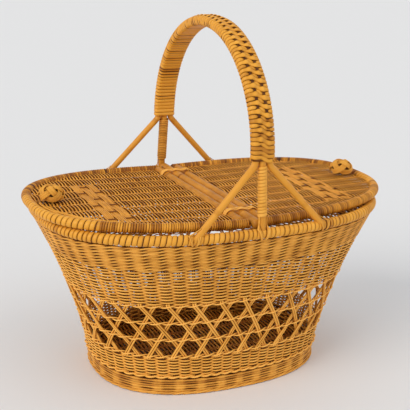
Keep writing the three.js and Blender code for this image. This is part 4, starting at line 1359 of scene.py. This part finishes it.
class MakeKnobs(bpy.types.Operator):
    """Knots the two knobs and ties them down to the lids."""

    bl_idname = "basket.knobs"
    bl_label = "Knobs"

    def execute(self, context):
        lid = context.scene.basket_lid
        reach = lid.knob / MM / 2
        tall = lid.knob_height / MM / 2
        x = (lid.half_length + lid.hoop / 2 - lid.knob_inset) / MM
        middle = np.array([x, 0, HINGE_HEIGHT + 0.2 + tall])
        columns = 420
        reeds = 6
        leads = 3
        for side, bights, seed in (("right", 4, 71), ("left", 5, 72)):
            # A turk's head knot: the cane goes round three times while it swings between the
            # poles once for each bight, and rises over and dips under twice as often
            random = np.random.default_rng(seed)
            t = shares_round(columns) * TURN
            mean_tilt = radians(66)
            swing = radians(45)
            tilt = mean_tilt + swing * np.cos(bights * t)
            over = np.sin(2 * bights * t)
            out = stack(np.sin(tilt) * np.cos(leads * t), np.sin(tilt) * np.sin(leads * t),
                        np.cos(tilt))
            wide = reach - 2.2 + 1.0 * over
            points = out * stack(wide, wide, tall - 1.8 + 0.9 * over) + middle
            offsets = (np.arange(reeds) - (reeds - 1) / 2) * 1.12
            grown, outs = side_by_side(points[None], out[None], offsets, closed=True)
            # Painted light where the cane rises over and painted shade where it dips under; the
            # sides of each cane get painted shade too
            tone = (0.58 + 0.08 * over + random.normal(0, 0.05, (reeds, 1))
                    + 0.05 * drift(random, reeds, columns, (3, 7, 13)))
            band = strands(grown, outs, 0.66, 0.6, tone, closed=True, edge=0.2)
            latitude = np.linspace(0.12, pi - 0.12, 24)[:, None]
            ring = shares_round(24) * TURN
            verts = stack((reach - 4.4) * np.sin(latitude) * np.cos(ring),
                          -(reach - 4.4) * np.sin(latitude) * np.sin(ring),
                          (tall - 3.4) * np.cos(latitude)) + middle
            # A dark core, painted shade that shows between the knot's canes
            core = rings(verts, np.linspace(0, 30, 24), 0.06)
            lid_piece(lid, side, "knob_knot", [band, core], "knot_cane", "knob")

            # The tie: a loop over the middle rib, half a circle that is flattened below
            top = HINGE_HEIGHT + 11.4
            half_turn = pi * np.linspace(0, 1, 60)
            y = 5 * np.cos(half_turn)
            z = top - 16.1 * np.sin(half_turn) ** 0.45
            tie = strands(stack(x, y, z), unit(stack(0, y, z - top - 2)), 1.1, 1.1, 0.66,
                          sides=8)
            lid_piece(lid, side, "knob_tie_cane", [tie], "tie_cane", "knob_tie")
        return {"FINISHED"}


# Stage

def direction(azimuth, elevation):
    """The way from the basket at an azimuth from the front and an elevation."""
    return Vector((sin(azimuth) * cos(elevation), -cos(azimuth) * cos(elevation),
                   sin(elevation)))


def plane_turn(first, second, angle):
    """A turn from one axis towards another, by the angle's cosine and sine."""
    turn = Matrix.Identity(3)
    turn[first][first] = turn[second][second] = cos(angle)
    turn[first][second] = -sin(angle)
    turn[second][first] = sin(angle)
    return turn


class MakeStage(bpy.types.Operator):
    """Sets the floor, the soft light and the camera."""

    bl_idname = "basket.stage"
    bl_label = "Stage"

    def execute(self, context):
        stage = context.scene.basket_stage
        scene = context.scene
        mesh = bpy.data.meshes.new("floor")
        size = 30
        mesh.from_pydata([(-size, -size, 0), (size, -size, 0), (size, size, 0), (-size, size, 0)],
                         [], [(0, 1, 2, 3)])
        floor = bpy.data.objects.new("floor", mesh)
        scene.collection.objects.link(floor)
        material = bpy.data.materials.new("floor")
        material.use_nodes = True
        shader = material.node_tree.nodes["Principled BSDF"]
        shader.inputs["Base Color"].default_value = tuple(stage.floor_colour) + (1.0,)
        shader.inputs["Roughness"].default_value = 0.9
        shader.inputs["Specular IOR Level"].default_value = 0.1
        mesh.materials.append(material)

        world = bpy.data.worlds.new("studio")
        world.use_nodes = True
        background = world.node_tree.nodes["Background"]
        background.inputs["Color"].default_value = (0.93, 0.96, 1.0, 1.0)
        background.inputs["Strength"].default_value = 0.66
        scene.world = world
        for name, azimuth, elevation, strength, angle in (
                ("key", -72, 31, 1.5, 40), ("fill", 42, 38, 0.5, 70)):
            lamp = bpy.data.lights.new(name, "SUN")
            lamp.energy = strength
            lamp.angle = radians(angle)
            lamp.color = (1.0, 0.985, 0.96)
            holder = bpy.data.objects.new(name, lamp)
            towards = direction(radians(azimuth), radians(elevation))
            holder.rotation_euler = towards.to_track_quat("Z", "Y").to_euler()
            scene.collection.objects.link(holder)

        camera = bpy.data.cameras.new("camera")
        camera.sensor_width = 36
        camera.lens = stage.lens
        camera.clip_end = 200
        back = direction(stage.azimuth, stage.elevation)
        right = Vector((cos(stage.azimuth), sin(stage.azimuth), 0))
        turn = (plane_turn(0, 1, stage.roll) @ plane_turn(1, 2, stage.pitch)
                @ plane_turn(2, 0, stage.yaw) @ Matrix((right, back.cross(right), back)))
        place = Vector((0, 0, stage.target_height)) + back * stage.distance
        holder = bpy.data.objects.new("camera", camera)
        holder.matrix_world = Matrix.Translation(place) @ turn.transposed().to_4x4()
        scene.collection.objects.link(holder)
        scene.camera = holder
        scene.view_settings.view_transform = "Standard"
        return {"FINISHED"}


class BasketPanel(bpy.types.Panel):
    """Lists the basket's pieces in the sidebar."""

    bl_idname = "VIEW3D_PT_basket"
    bl_label = "Picnic basket"
    bl_space_type = "VIEW_3D"
    bl_region_type = "UI"
    bl_category = "Basket"

    def draw(self, context):
        for maker in MAKERS:
            self.layout.operator(maker.bl_idname)


MAKERS = (MakeStage, MakeFoot, MakeLowerWall, MakeOpenwork, MakeUpperWall, MakeRim, MakeBase,
          MakeHandleRods, MakeHandleWrap, MakeLegWraps, MakeHinge, MakeLids, MakeKnobs)
SETTINGS = {
    "basket_colours": BasketColours,
    "basket_wall": BasketWall,
    "basket_lid": BasketLid,
    "basket_handle": BasketHandle,
    "basket_stage": BasketStage,
}
CLASSES = (*SETTINGS.values(), *MAKERS, BasketPanel)


def register():
    for kind in CLASSES:
        bpy.utils.register_class(kind)
    for name, kind in SETTINGS.items():
        setattr(bpy.types.Scene, name, PointerProperty(type=kind))


def unregister():
    for name in SETTINGS:
        delattr(bpy.types.Scene, name)
    for kind in reversed(CLASSES):
        bpy.utils.unregister_class(kind)


def main():
    register()
    for maker in MAKERS:
        group, name = maker.bl_idname.split(".")
        getattr(getattr(bpy.ops, group), name)()


if __name__ == "__main__":
    main()
